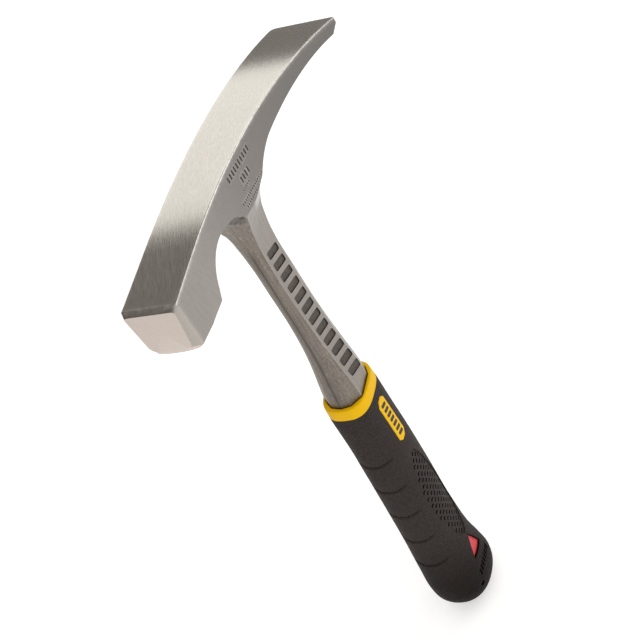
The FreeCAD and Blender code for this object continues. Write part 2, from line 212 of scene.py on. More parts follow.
def add(tree, kind, inputs=None, **props):
    # one node; its properties are set first, because a group's inputs exist only once its tree is set
    made = tree.nodes.new(kind)
    for key, value in props.items():
        setattr(made, key, value)
    return setInputs(tree, made, inputs or {})


def calc(tree, operation, a, b, c=None, clamp=False):
    inputs = {0: a, 1: b} if c is None else {0: a, 1: b, 2: c}
    return add(tree, "ShaderNodeMath", inputs, operation=operation, use_clamp=clamp).outputs[0]


def newGroup(name, inputs, outputs):
    tree = bpy.data.node_groups.new(name, "ShaderNodeTree")
    for label, kind, value in inputs:
        socket = tree.interface.new_socket(label, in_out="INPUT", socket_type=kind)
        if value is not None:
            socket.default_value = value
    for label, kind in outputs:
        tree.interface.new_socket(label, in_out="OUTPUT", socket_type=kind)
    return tree, tree.nodes.new("NodeGroupInput"), tree.nodes.new("NodeGroupOutput")


def noiseSpread(tree, vector, scale, detail, roughness, span, low, high):
    # noise between the two values of span, spread out to run from low to high
    noise = add(tree, "ShaderNodeTexNoise", {
        "Vector": vector, "Scale": scale, "Detail": detail, "Roughness": roughness})
    return add(tree, "ShaderNodeMapRange", {
        "Value": noise.outputs["Fac"], "From Min": span[0], "From Max": span[1],
        "To Min": low, "To Max": high}).outputs["Result"]


def makeToneGroup():
    # soft or fine variation between two values, from noise of a given size
    tree, given, out = newGroup("toneNoise", [
        ("Vector", "NodeSocketVector", None), ("Scale", "NodeSocketFloat", 500.0),
        ("Low", "NodeSocketFloat", 0.0), ("High", "NodeSocketFloat", 1.0),
    ], [("Value", "NodeSocketFloat")])
    vector, scale, low, high = (given.outputs[k] for k in ("Vector", "Scale", "Low", "High"))
    setInputs(tree, out, {"Value": noiseSpread(tree, vector, scale, 4.0, 0.6, (0.3, 0.7), low, high)})
    return tree


def makeStreakGroup():
    # long thin streaks, as a belt or a stone leaves them: noise squeezed across and drawn out along
    tree, given, out = newGroup("streakGrain", [
        ("Vector", "NodeSocketVector", None), ("Stretch", "NodeSocketVector", (100, 2000, 2000)),
        ("Low", "NodeSocketFloat", 0.0), ("High", "NodeSocketFloat", 1.0),
    ], [("Value", "NodeSocketFloat")])
    vector, stretch, low, high = (given.outputs[k] for k in ("Vector", "Stretch", "Low", "High"))
    drawn = add(tree, "ShaderNodeVectorMath", {0: vector, 1: stretch}, operation="MULTIPLY")
    value = noiseSpread(tree, drawn.outputs["Vector"], 1.0, 3.0, 0.65, (0.3, 0.7), low, high)
    setInputs(tree, out, {"Value": value})
    return tree


def makeWearAndGlintGroup():
    # mask of rubbed edges with a painted highlight along them: the edge attribute, broken up by noise
    tree, given, out = newGroup("edgeWearAndGlint", [
        ("Vector", "NodeSocketVector", None), ("Edge", "NodeSocketFloat", 0.0),
        ("Amount", "NodeSocketFloat", 1.0),
    ], [("Mask", "NodeSocketFloat")])
    patchy = noiseSpread(tree, given.outputs["Vector"], 420.0, 3.0, 0.6, (0.35, 0.6), 0.35, 1.0)
    product = calc(tree, "MULTIPLY", given.outputs["Edge"], patchy)
    setInputs(tree, out, {"Mask": calc(tree, "MULTIPLY", product, given.outputs["Amount"], clamp=True)})
    return tree


toneGroup = makeToneGroup()
streakGroup = makeStreakGroup()
wearAndGlintGroup = makeWearAndGlintGroup()


def startMaterial(name, metallic, roughness):
    # a material with its shader and its object coordinates
    material = bpy.data.materials.new(name)
    material.use_nodes = True
    tree = material.node_tree
    shader = next(n for n in tree.nodes if n.type == "BSDF_PRINCIPLED")
    shader.inputs["Metallic"].default_value = metallic
    shader.inputs["Roughness"].default_value = roughness
    where = add(tree, "ShaderNodeTexCoord").outputs["Object"]
    return material, tree, shader, where


def placeGroup(tree, group, **inputs):
    return add(tree, "ShaderNodeGroup", inputs, node_tree=group).outputs[0]


def mixColour(tree, factor, a, b):
    # sockets 6 and 7 are the two colours, which get their alpha here
    a, b = ((*colour, 1.0) if isinstance(colour, tuple) else colour for colour in (a, b))
    return add(tree, "ShaderNodeMix", {0: factor, 6: a, 7: b}, data_type="RGBA").outputs[2]


def painted(tree, name):
    # an attribute that the mesh carries from point to point
    return add(tree, "ShaderNodeAttribute", attribute_name=name).outputs["Fac"]


def bumps(tree, height, distance):
    return add(tree, "ShaderNodeBump", {
        "Height": height, "Distance": distance * mm, "Strength": 1.0}).outputs["Normal"]


def spreadRoughness(tree, pattern, middle, spread):
    # roughness that follows a pattern from 0 to 1, half the spread to either side of its middle
    return calc(tree, "MULTIPLY_ADD", pattern, spread, middle - spread / 2)


def rubbedAndGlinting(tree, where, colour, look):
    # the colour with its edges worn bright and a painted highlight on them
    mask = placeGroup(tree, wearAndGlintGroup, Vector=where, Edge=painted(tree, "edge"), Amount=look["wearAndGlint"])
    return mixColour(tree, mask, colour, look["bright"])


def brushedSteel(name, look):
    # ground steel: streaks in one direction, a cloudy tone, edges rubbed bright with a painted
    # highlight, and where the look has one, a painted shade
    look = {"turn": (0, 0, 0), "cloud": 0.4, **look}
    material, tree, shader, where = startMaterial(name, 1.0, look["roughness"])
    along = add(tree, "ShaderNodeMapping", {"Vector": where, "Rotation": look["turn"]}).outputs["Vector"]
    streaks = placeGroup(tree, streakGroup, Vector=along, Stretch=look["stretch"])
    fine = placeGroup(tree, streakGroup, Vector=along, Stretch=tuple(3.1 * v for v in look["stretch"]))
    both = calc(tree, "MULTIPLY_ADD", streaks, 0.6, calc(tree, "MULTIPLY", fine, 0.4))
    cloud = placeGroup(tree, toneGroup, Vector=where, Scale=look["cloudScale"])
    ground = mixColour(tree, both, look["dark"], look["light"])
    clouded = mixColour(tree, calc(tree, "MULTIPLY", cloud, look["cloud"]), ground, look["tint"])
    # painted shade: the colour darkens by an attribute that runs along the piece
    if "paintedShade" in look:
        clouded = mixColour(tree, painted(tree, "paintedShade"), clouded, look["paintedShade"])
    setInputs(tree, shader, {
        "Base Color": rubbedAndGlinting(tree, where, clouded, look), "Normal": bumps(tree, both, look["bump"]),
        "Roughness": spreadRoughness(tree, both, look["roughness"], look["roughnessSpread"])})
    return material


print("shared surfaces and effects are ready")

# the head is one closed skin from the striking face to the end of the blade
head = {
    "face": -76.0, "tip": 115.2,
    "top": 286.6, "crownStart": -45.0, "crownDrop": 0.4, "crownRadius": 424.0, "tipDrop": 35.5,
    "faceHalf": 11.45, "tipHalf": 14.9, "waist": 1.85,
    "topEdge": 0.45, "underEdge": 0.4, "tipCorners": (2.8, 0.7),
    "bevelInTop": 1.4, "bevelInFoot": 2.2, "bevelInSide": (3.0, 0.9),
    "faceCorners": (1.6, (3.8, 3.0)), "pollFootCorner": (5.0, 2.4), "pollFootReach": 15.0,
    "bevelBackTop": 2.2, "bevelBackSide": 3.0, "bevelBackFoot": 0.7,
    "forgedSpan": (-24.5, -4.0), "paintedShadeAt": ((-50, 0, 35, 62, 107), (0.05, 0.48, 0.62, 0.72, 0.8)),
}
underPoints = {
    "face": (-76.0, 263.7), "pollHeel": (-50.0, 261.1), "heel": (-47.5, 264.5), "throat": (-22.0, 271.0),
    "rootFront": (-13.0, 262.6), "rootBack": (14.5, 260.6), "crest": (33.0, 264.9),
    "bladeHeel": (108.7, 247.0), "tip": (115.2, 248.2),
}
# arcs over the throat, the root and the blade: from, to, radius
underArcs = (("heel", "throat", 18.0), ("rootBack", "crest", 38.0), ("crest", "bladeHeel", 243.0))


def headTopZ(x):
    # level line over the poll, then one long arc down to the tip
    start = (head["crownStart"], head["top"] - head["crownDrop"])
    arc = arcOver(x, start, (head["tip"], head["top"] - head["tipDrop"]), head["crownRadius"])
    level = np.interp(x, [head["face"], head["crownStart"]], [head["top"], start[1]])
    return np.where(x < head["crownStart"], level, arc)


def headUnderZ(x):
    # straight runs between the named points, and the arcs
    under = np.interp(x, *np.array(list(underPoints.values())).T)
    for start, end, radius in underArcs:
        a, b = underPoints[start], underPoints[end]
        under = np.where((x > a[0]) & (x < b[0]), arcOver(x, a, b, radius), under)
    return under


# how far the cheek's lower edge stands above the underside's middle, along the head
cheekEdgeRise = np.array([
    (-26.0, 0.0), (-22.0, 0.5), (-18.9, 2.4), (-15.7, 3.7), (-13.7, 3.9), (-11.5, 2.4), (-9.5, 0.2),
    (-6.7, -0.8), (-2.1, -1.6), (3.3, -1.9), (7.3, -1.3), (14.5, 0.0),
])


def headHalf(x, corner=1.0):
    # straight taper, waisted between the ends, with the tip's corners rounded in plan
    u = (x - head["face"]) / (head["tip"] - head["face"])
    half = head["faceHalf"] + (head["tipHalf"] - head["faceHalf"]) * u - 4 * head["waist"] * u * (1 - u)
    over = np.clip(x - (head["tip"] - corner), 0, corner)
    return half - (corner - np.sqrt(np.maximum(corner * corner - over * over, 0)))


def roundCorners(y, z, upperRadius, lowerRadius):
    # bends a rectangle's outline round an arc at each corner, sides and ends moving along with it
    reachY, low, high = np.abs(y).max(), z.min(), z.max()
    lower = np.where(y > 0, lowerRadius[0], lowerRadius[1])
    radius = np.where(z > (low + high) / 2, upperRadius, lower)
    fromSide = reachY - np.abs(y)
    fromEnd = np.minimum(z - low, high - z)
    near = (fromSide < radius) & (fromEnd < radius)
    turn = np.pi / 4 * (1 + np.clip((fromSide - fromEnd) / radius, -1, 1))
    middle = (low + high) / 2
    newY = np.sign(y) * (reachY - radius + radius * np.cos(turn))
    newZ = middle + np.sign(z - middle) * ((high - low) / 2 - radius + radius * np.sin(turn))
    return np.where(near, newY, y), np.where(near, newZ, z)


def headGrid():
    # each ring goes from the foot's middle up one cheek, over the top and down the other
    a = np.linspace(0, np.pi / 2, 6)
    flat = np.sin(np.linspace(0, np.pi / 2, 15))[:-1]
    cheek = 0.5 - 0.5 * np.cos(np.linspace(0, np.pi, 26))
    footR, topR = head["underEdge"], head["topEdge"]
    # per column: share of the half width, share of the height, and the fixed offsets of the corners
    columns = np.concatenate([
        np.column_stack([flat, 0 * flat, -flat * footR, 0 * flat, 0 * flat]),
        np.column_stack([1 + 0 * a, 0 * a, footR * (np.sin(a) - 1), footR * (1 - np.cos(a)), 1 + 0 * a]),
        np.column_stack([1 + 0 * cheek, cheek, 0 * cheek, footR - cheek * (footR + topR),
                         1 + 0 * cheek])[1:-1],
        np.column_stack([1 + 0 * a, 1 + 0 * a, topR * (np.cos(a) - 1), topR * (np.sin(a) - 1),
                         2 + 0 * a]),
        np.column_stack([flat, 1 + 0 * flat, -flat * topR, 0 * flat, 3 + 0 * flat])[::-1],
    ])
    mirrored = columns[1:-1][::-1] * [-1, 1, -1, 1, 1]
    columns = np.vstack([columns, mirrored])
    p = underPoints
    x = np.unique(np.concatenate([
        np.linspace(-72.6, p["pollHeel"][0], 16), np.linspace(p["pollHeel"][0], p["heel"][0], 4),
        np.linspace(p["heel"][0], p["throat"][0], 26), np.linspace(p["throat"][0], -6.0, 34),
        np.linspace(-6.0, p["rootBack"][0], 16), np.linspace(p["rootBack"][0], p["crest"][0], 14),
        np.linspace(p["crest"][0], p["bladeHeel"][0], 46), np.linspace(p["bladeHeel"][0], 113.4, 5),
        113.6 + 1.6 * np.sin(np.linspace(0, np.pi / 2, 6)),
    ]).round(4))
    isCheek = (np.abs(columns[:, 0]) == 1) & (columns[:, 4] >= 1) & (columns[:, 4] < 2)
    towardsSide = (head["bevelBackSide"] - head["bevelBackFoot"]) * np.abs(columns[:, 0]) ** 3
    back = np.where(columns[:, 4] >= 2, head["bevelBackTop"],
                    np.where(isCheek, head["bevelBackSide"], head["bevelBackFoot"] + towardsSide))
    x = np.vstack([np.full(len(columns), head["face"]), head["face"] + back,
                   np.repeat(x[:, None], len(columns), 1)])
    farCorner, nearCorner = head["tipCorners"]
    half = np.where(columns[:, 0] > 0, headHalf(x, farCorner), headHalf(x, nearCorner))
    outward = np.abs(columns[:, 0]) ** 5
    foot = headUnderZ(x) + np.interp(x, *cheekEdgeRise.T) * outward
    top = headTopZ(x)
    y = columns[:, 0] * half + columns[:, 2]
    z = foot + columns[:, 1] * (top - foot) + columns[:, 3]
    # round corners: all four on the face, and the poll's two lower edges, fading along it
    y[0], z[0] = roundCorners(y[0], z[0], *head["faceCorners"])
    for row in range(1, len(x)):
        fade = 1 - (x[row].min() - head["face"]) / head["pollFootReach"]
        if fade > 0.02:
            lower = np.array(head["pollFootCorner"]) * fade
            y[row], z[row] = roundCorners(y[row], z[row], 0.01, lower)
    # the first ring is the striking face's own outline, drawn in from the bevel
    share = np.clip((z[0] - foot[0]) / (top[0] - foot[0]), 0, 1)
    drawIn = head["bevelInSide"][0] + (head["bevelInSide"][1] - head["bevelInSide"][0]) * share
    y[0] *= (half[0] - drawIn) / half[0]
    tall = top[0] - foot[0] - head["bevelInFoot"] - head["bevelInTop"]
    z[0] = foot[0] + head["bevelInFoot"] + share * tall
    grid = np.stack([x, y, z], -1)
    toEdge = np.where(columns[:, 4] >= 2, half - np.abs(y), top - z)
    toEdge = np.where(columns[:, 4] == 0, 9.0, toEdge)
    toEdge = np.minimum(toEdge, np.minimum(np.abs(x - head["face"] - 2.2), head["tip"] - x))
    return grid, columns[:, 4], np.exp(-np.maximum(toEdge, 0) / 0.55)


topSteel = brushedSteel("groundTop", {
    "roughness": 0.13, "roughnessSpread": 0.06, "turn": (0, 0, math.radians(-17)),
    "stretch": (150, 2300, 2300), "dark": (0.41, 0.395, 0.365), "light": (0.60, 0.58, 0.54),
    "cloudScale": 60.0, "cloud": 0.3, "tint": (0.46, 0.44, 0.41), "wearAndGlint": 0.8,
    "bright": (0.86, 0.84, 0.80), "bump": 0.004})
cheekSteel = brushedSteel("groundCheek", {
    "roughness": 0.36, "roughnessSpread": 0.12, "turn": (0, math.radians(8), 0),
    "stretch": (2000, 2000, 150), "dark": (0.24, 0.222, 0.208), "light": (0.37, 0.35, 0.33),
    "cloudScale": 45.0, "tint": (0.29, 0.262, 0.25), "paintedShade": (0.10, 0.092, 0.086),
    "wearAndGlint": 0.9, "bright": (0.80, 0.77, 0.73), "bump": 0.015})
faceSteel = brushedSteel("strikingFace", {
    "roughness": 0.5, "roughnessSpread": 0.1,
    "stretch": (900, 900, 900), "dark": (0.60, 0.54, 0.495), "light": (0.72, 0.65, 0.60),
    "cloudScale": 90.0, "cloud": 0.5, "tint": (0.64, 0.57, 0.53), "wearAndGlint": 0.3,
    "bright": (0.75, 0.70, 0.66), "bump": 0.02})
bevelSteel = brushedSteel("faceBevel", {
    "roughness": 0.42, "roughnessSpread": 0.2,
    "stretch": (1400, 1400, 1400), "dark": (0.36, 0.33, 0.30), "light": (0.48, 0.45, 0.41),
    "cloudScale": 200.0, "tint": (0.40, 0.37, 0.34), "wearAndGlint": 0.5,
    "bright": (0.8, 0.77, 0.73), "bump": 0.05})

# painted shade: a darker copy of the bevel's steel, for the bevel along the top
topBevelShadedSteel = brushedSteel("faceTopBevelShaded", {
    "roughness": 0.35, "roughnessSpread": 0.2,
    "stretch": (1400, 250, 1400), "dark": (0.17, 0.155, 0.14), "light": (0.32, 0.295, 0.27),
    "cloudScale": 200.0, "tint": (0.22, 0.20, 0.18), "wearAndGlint": 0.7,
    "bright": (0.6, 0.57, 0.53), "bump": 0.03})


scaleDark, scaleLight = (0.07, 0.064, 0.06), (0.27, 0.25, 0.23)


def forgedSteel(name, look):
    # forging skin: pits and scale of two sizes, and dark streaks drawn along the shank
    material, tree, shader, where = startMaterial(name, 1.0, look["roughness"])
    streaks = placeGroup(tree, streakGroup, Vector=where, Stretch=look["stretch"])
    speck = placeGroup(tree, toneGroup, Vector=where, Scale=look["speckScale"])
    lumps = placeGroup(tree, toneGroup, Vector=where, Scale=190.0)
    skin = mixColour(tree, speck, look["dark"], look["light"])
    streaked = mixColour(tree, calc(tree, "MULTIPLY", streaks, look["streak"]), skin, look["deep"])
    tinted = mixColour(tree, calc(tree, "MULTIPLY", lumps, 0.4), streaked, look["tint"])
    # painted shade in the crease down the front and beside it
    seamShaded = mixColour(tree, painted(tree, "seamShade"), tinted, look["seamShade"])
    # painted highlight where the shank's sides flare out under the head
    flared = mixColour(tree, painted(tree, "flare"), seamShaded, look["flare"])
    # the patch of scale has a ragged border, so noise shifts its mask before it is cut off
    crumbs = placeGroup(tree, toneGroup, Vector=where, Scale=650.0, Low=-0.3, High=0.3)
    shifted = calc(tree, "ADD", painted(tree, "scale"), crumbs)
    ragged = calc(tree, "MULTIPLY", calc(tree, "SUBTRACT", shifted, 0.5), 9.0, clamp=True)
    scaly = mixColour(tree, ragged, flared, mixColour(tree, speck, scaleDark, scaleLight))
    relief = calc(tree, "ADD", calc(tree, "MULTIPLY", lumps, 0.7), calc(tree, "MULTIPLY", speck, 0.3))
    setInputs(tree, shader, {
        "Base Color": rubbedAndGlinting(tree, where, scaly, look), "Normal": bumps(tree, relief, look["bump"]),
        "Roughness": spreadRoughness(tree, speck, look["roughness"], 0.2)})
    return material


forgedFront = forgedSteel("forgedFront", {
    "roughness": 0.5, "stretch": (1000, 1000, 40), "speckScale": 1250.0, "streak": 0.75,
    "dark": (0.145, 0.128, 0.110), "light": (0.45, 0.41, 0.365), "deep": (0.12, 0.105, 0.093),
    "tint": (0.28, 0.245, 0.205), "seamShade": (0.11, 0.098, 0.088), "flare": (0.45, 0.44, 0.435),
    "wearAndGlint": 0.35, "bright": (0.52, 0.49, 0.45), "bump": 0.12})
forgedBack = forgedSteel("forgedBack", {
    "roughness": 0.42, "stretch": (800, 800, 30), "speckScale": 1700.0, "streak": 0.35,
    "dark": (0.27, 0.255, 0.24), "light": (0.44, 0.42, 0.395), "deep": (0.2, 0.185, 0.17),
    "tint": (0.34, 0.315, 0.29), "seamShade": (0.10, 0.09, 0.08), "flare": (0.43, 0.43, 0.435),
    "wearAndGlint": 0.5, "bright": (0.7, 0.68, 0.65), "bump": 0.05})
shankFlat = forgedSteel("shankFlat", {
    "roughness": 0.4, "stretch": (900, 900, 35), "speckScale": 1600.0, "streak": 0.35,
    "dark": (0.235, 0.215, 0.197), "light": (0.385, 0.358, 0.335), "deep": (0.17, 0.155, 0.14),
    "tint": (0.30, 0.268, 0.242), "seamShade": (0.10, 0.09, 0.08), "flare": (0.50, 0.50, 0.505),
    "wearAndGlint": 0.45, "bright": (0.6, 0.58, 0.55), "bump": 0.05})


def markFill(name, dark, light):
    # the floor or the walls of the pressed marks, darkened as painted shade, or the etched marks' own
    # dark colour
    material, tree, shader, where = startMaterial(name, 0.4, 0.62)
    speck = placeGroup(tree, toneGroup, Vector=where, Scale=1600.0)
    setInputs(tree, shader, {
        "Base Color": mixColour(tree, speck, dark, light), "Normal": bumps(tree, speck, 0.06)})
    return material


markFloorShade = markFill("markFloorShade", (0.045, 0.036, 0.031), (0.14, 0.116, 0.099))
markWallShade = markFill("markWallShade", (0.012, 0.010, 0.009), (0.035, 0.028, 0.024))
etchedMark = markFill("etchedMark", (0.05, 0.042, 0.036), (0.12, 0.105, 0.094))


def scalePatch(x, y, z):
    # where forging scale is left on the root's front: close under the cheek's lower edge
    arch = np.interp(x, cheekEdgeRise[:, 0], cheekEdgeRise[:, 1]) + headUnderZ(x)
    under = np.clip((z - arch + 8.0) / 3.0, 0, 1)
    along = np.clip((x + 25) / 3, 0, 1) * np.clip((-5.5 - x) / 2.5, 0, 1)
    return under * along * np.clip((np.abs(y) - 5.5) / 2.5, 0, 1)


def buildHead():
    grid, kinds, edge = headGrid()
    rows, columns = grid.shape[:2]
    points, faces = ringShell(grid)
    following = np.roll(kinds, -1)
    kind = np.minimum(kinds, following)
    # 0 top, 1 cheek, 2 face, 3 bevel, 4 underside, 5 marks, 6 the root's front, 7 the bevel's top in a
    # darker copy of the bevel steel, as painted shade
    column = np.where(kind >= 2, 0, np.where(kind >= 1, 1, 4))
    slots = np.repeat(column[None], rows - 1, 0)
    middleX = (grid[:-1, 0, 0] + grid[1:, 0, 0])[:, None] / 2
    forgedFrom, forgedTo = head["forgedSpan"]
    slots = np.where((slots == 4) & (middleX > forgedFrom) & (middleX < forgedTo), 6, slots)
    slots = np.where((slots == 4) & (middleX < underPoints["pollHeel"][0]), 1, slots)
    slots[0] = np.where((kinds >= 2) & (following >= 2), 7, np.where(kind < 1, 2, 3))
    slots = np.concatenate([slots.ravel(), np.full(columns, 2), np.full(columns, 3)])
    # edges rubbed bright, with a painted highlight along them
    wearAndGlint = np.append(edge.ravel(), [0.0, 0.3])
    # painted shade along the cheeks, deepening towards the blade
    paintedShade = np.interp(points[:, 0], *head["paintedShadeAt"])
    return finishMesh("hammer_head", points, faces,
                      [topSteel, cheekSteel, faceSteel, bevelSteel, forgedBack, etchedMark, forgedFront,
                       topBevelShadedSteel],
                      slots, {"edge": wearAndGlint, "scale": scalePatch(*points.T), "paintedShade": paintedShade}, 24)


hammerHead = buildHead()
print("head:", len(hammerHead.data.polygons), "faces")


# the shank is rings of seven points a side, from inside the collar to the root under the head;
# each station: height at the front and at the back; front x; nose, step, panel front, panel back
# and spine as x, y; back x; how far the ring follows the head's underside, and its height above it
shankStations = np.array([
    (141.0, 141.0, -10.3, -9.2, 4.6, -5.9, 7.4, -4.6, 8.5, 7.0, 8.4, 11.6, 6.2, 12.5, 0, 0),
    (149.6, 149.6, -10.2, -9.1, 4.6, -5.8, 7.3, -4.5, 8.5, 7.2, 8.4, 11.8, 6.1, 12.5, 0, 0),
    (156.0, 156.0, -9.3, -8.3, 4.3, -5.2, 6.8, -4.1, 7.8, 7.9, 7.7, 12.0, 5.6, 12.6, 0, 0),
    (165.0, 165.0, -7.9, -7.0, 3.6, -4.4, 5.7, -3.6, 6.5, 8.8, 6.4, 12.2, 4.7, 12.6, 0, 0),
    (177.0, 177.0, -6.5, -5.8, 2.7, -3.9, 4.5, -3.3, 5.1, 9.5, 5.0, 12.1, 3.8, 12.5, 0, 0),
    (194.0, 194.0, -5.8, -5.2, 2.1, -3.7, 3.7, -3.2, 4.15, 10.0, 4.1, 12.0, 3.1, 12.3, 0, 0),
    (214.0, 214.0, -5.6, -5.1, 1.9, -4.1, 3.4, -3.7, 3.85, 10.2, 3.85, 12.1, 2.9, 12.4, 0, 0),
    (229.0, 231.0, -5.6, -5.2, 2.1, -4.1, 3.6, -3.7, 4.0, 10.4, 4.0, 12.3, 2.8, 12.6, 0, 0),
    (240.0, 242.0, -5.7, -5.3, 2.7, -4.3, 4.3, -3.9, 4.7, 11.4, 4.5, 14.4, 2.9, 15.2, 0, 0),
    (248.0, 250.5, -6.6, -6.1, 3.6, -4.6, 5.3, -4.2, 5.8, 13.5, 5.4, 19.4, 3.0, 20.8, 0, 0),
    (254.6, 256.4, -8.8, -8.0, 5.2, -5.6, 7.2, -5.0, 7.7, 18.0, 7.2, 28.4, 3.2, 30.2, 0.1, 0),
    (259.2, 259.0, -11.4, -10.4, 7.5, -8.0, 9.7, -7.4, 10.1, 25.0, 9.5, 38.0, 4.6, 42.0, 0.6, -0.8),
    (261.8, 262.2, -13.2, -12.4, 9.0, -10.2, 10.6, -9.4, 10.75, 33.0, 11.0, 48.0, 7.2, 57.0, 1.0, -0.3),
    (265.0, 265.4, -13.6, -12.8, 9.0, -10.6, 10.5, -9.8, 10.65, 33.4, 10.8, 48.4, 7.0, 57.4, 1.0, 1.6),
])
shankPerEdge = (6, 8, 5, 24, 8, 7)
# the thin crease down the middle of the front: depth, width, and the heights between which it fades
crease = {"depth": 0.3, "width": 0.42, "fade": ((149, 155, 236, 244), (0, 1, 1, 0))}


def shankRings(heights):
    # every ring: its seven points a side joined by straight runs, then softened at the corners
    mean = shankStations[:, :2].mean(1)
    at = curveThrough(np.column_stack([mean, shankStations]), heights)
    zFront, zBack = at[:, 0:1], at[:, 1:2]
    zero = np.zeros(len(at))
    x = np.stack([at[:, 2], at[:, 3], at[:, 5], at[:, 7], at[:, 9], at[:, 11], at[:, 13]], 1)
    y = np.stack([zero, at[:, 4], at[:, 6], at[:, 8], at[:, 10], at[:, 12], zero], 1)
    corner = np.repeat(np.arange(6), shankPerEdge)
    u = np.concatenate([0.5 - 0.5 * np.cos(np.pi * np.arange(n) / n) for n in shankPerEdge])
    xs = np.hstack([x[:, corner] * (1 - u) + x[:, corner + 1] * u, x[:, 6:7]])
    ys = np.hstack([y[:, corner] * (1 - u) + y[:, corner + 1] * u, y[:, 6:7]])
    x = np.hstack([xs[:, :-1], xs[:, :0:-1]])
    y = np.hstack([-ys[:, :-1], ys[:, :0:-1]])
    for _ in range(2):
        x = 0.25 * np.roll(x, 1, 1) + 0.5 * x + 0.25 * np.roll(x, -1, 1)
        y = 0.25 * np.roll(y, 1, 1) + 0.5 * y + 0.25 * np.roll(y, -1, 1)
    front, back = at[:, 2:3], at[:, 13:14]
    level = zFront + (zBack - zFront) * (x - front) / (back - front)
    hug = np.clip(at[:, 14:15], 0, 1)
    z = level * (1 - hug) + (headUnderZ(x) + at[:, 15:16]) * hug
    fade = np.interp(heights, *crease["fade"])[:, None]
    x = x + crease["depth"] * np.exp(-(y / crease["width"]) ** 2) * (x < 0) * fade
    return np.stack([x, y, z], -1)


def buildShank():
    heights = np.concatenate([np.linspace(141, 238, 110), np.linspace(238, 265.2, 60)[1:]])
    grid = shankRings(heights)
    rows, columns = grid.shape[:2]
    points, faces = ringShell(grid)
    place = np.minimum(np.arange(columns), columns - 1 - np.arange(columns))
    flatFrom, flatTo = sum(shankPerEdge[:3]), sum(shankPerEdge[:4])
    # 0 front facets, 1 flat panels, 2 back facets, 3 and 4 the floors and walls of the marks
    column = np.where(place < flatFrom, 0, np.where(place < flatTo, 1, 2))
    slots = np.concatenate([np.repeat(column[None], rows - 1, 0).ravel(), np.full(2 * columns, 2)])
    # the panel's edges rubbed bright, with a painted highlight along them
    near = np.minimum(np.arange(columns), columns - np.arange(columns))
    edge = np.exp(-(np.minimum(np.abs(near - flatFrom), np.abs(near - flatTo)) / 1.6) ** 2)
    wearAndGlint = np.append(np.repeat(edge[None], rows, 0).ravel(), [0.0, 0.0])
    x, y, z = points.T
    # painted shade, dark in the crease and dusky beside it; a painted highlight where the sides flare
    # out under the head
    seamShade = 0.75 * np.exp(-(y / crease["width"]) ** 2) + 0.28 * np.exp(-np.abs(y) / 1.8)
    flare = np.clip((z - 250.0) / 1.5, 0, 1) * np.clip((x - 5) / 4, 0, 1)
    seamShade = (x < 0) * np.clip(seamShade, 0, 1) * np.clip((244 - z) / 8, 0, 1)
    return finishMesh(
        "hammer_shank", points, faces, [forgedFront, shankFlat, forgedBack, markFloorShade, markWallShade], slots,
        {"edge": wearAndGlint, "seamShade": seamShade, "flare": flare, "scale": scalePatch(x, y, z)}, 40)


hammerShank = buildShank()
print("shank:", len(hammerShank.data.polygons), "faces")


def panelHalf(x, z):
    # half thickness of the shank's flat panel at a height
    mean = shankStations[:, :2].mean(1)
    values = curveThrough(np.column_stack([mean, shankStations[:, [7, 8, 9, 10]]]), np.ravel(z))
    share = np.clip((np.ravel(x) - values[:, 0]) / (values[:, 2] - values[:, 0]), 0, 1)
    return (values[:, 1] + (values[:, 3] - values[:, 1]) * share).reshape(np.shape(z))


shankMarks = {"count": 12, "low": 157.5, "high": 230.5, "front": -1.9, "back": 8.5, "width": 4.3,
              "slant": -3.6, "depth": 0.45}


def slantedBars(centres, length, width, slant):
    # one loop per bar, around its own centre: a slanted bar across the piece, with clipped corners
    a, b = length / 2, width / 2
    corner = np.array([(-a, -b), (a, -b + slant), (a, b + slant), (-a, b)]) - [0, slant / 2]
    loop = cornerLoop(corner, 4, 1)
    return centres[:, None] + loop[None]


def markShank():
    m = shankMarks
    z = np.linspace(m["low"], m["high"], m["count"])
    centres = np.column_stack([np.full(len(z), (m["front"] + m["back"]) / 2), z])
    loops = slantedBars(centres, m["back"] - m["front"], m["width"], m["slant"])
    steps = pocket(m["depth"], 0.93, 1.0)
    # painted shade: the walls of a mark are darker than its floor, and both darker than the panel
    perMark = loops.shape[1]
    quads = np.repeat([[3] * perMark + [4] * perMark], len(loops), 0).ravel()
    slots = np.concatenate([quads, np.full(len(loops) * 2 * perMark, 3)])
    carve(hammerShank, [(sideShells(loops, steps, panelHalf, side), slots) for side in (-1, 1)])


markShank()


# rows of plain etched dashes: first x and z, how many, pitch, width along the head, height
cheekMarks = (
    (-6.4, 279.4, 10, 2.35, 1.15, 3.0), (1.2, 271.9, 4, 2.3, 1.1, 3.2), (-1.2, 268.8, 5, 1.4, 0.6, 0.9),
    (-6.4, 266.2, 15, 1.5, 0.7, 1.0), (-4.6, 263.3, 11, 1.5, 0.7, 1.0),
)


def markCheeks():
    cuts = []
    steps = pocket(0.14, 0.97, 0.6)
    for x0, z0, count, pitch, width, tall in cheekMarks:
        x = x0 + pitch * np.arange(count)
        loops = slantedBars(np.column_stack([x, z0 - 0.19 * (x - x0)]), width, tall, -0.25)
        cuts += [(sideShells(loops, steps, lambda x, z: headHalf(x), side), 5) for side in (-1, 1)]
    carve(hammerHead, cuts)


markCheeks()
print("marks are cut")

tang = {"front": -5.6, "back": 8.2, "half": 3.5, "tine": 4.2, "root": 108.0, "end": 34.0, "top": 141.5}


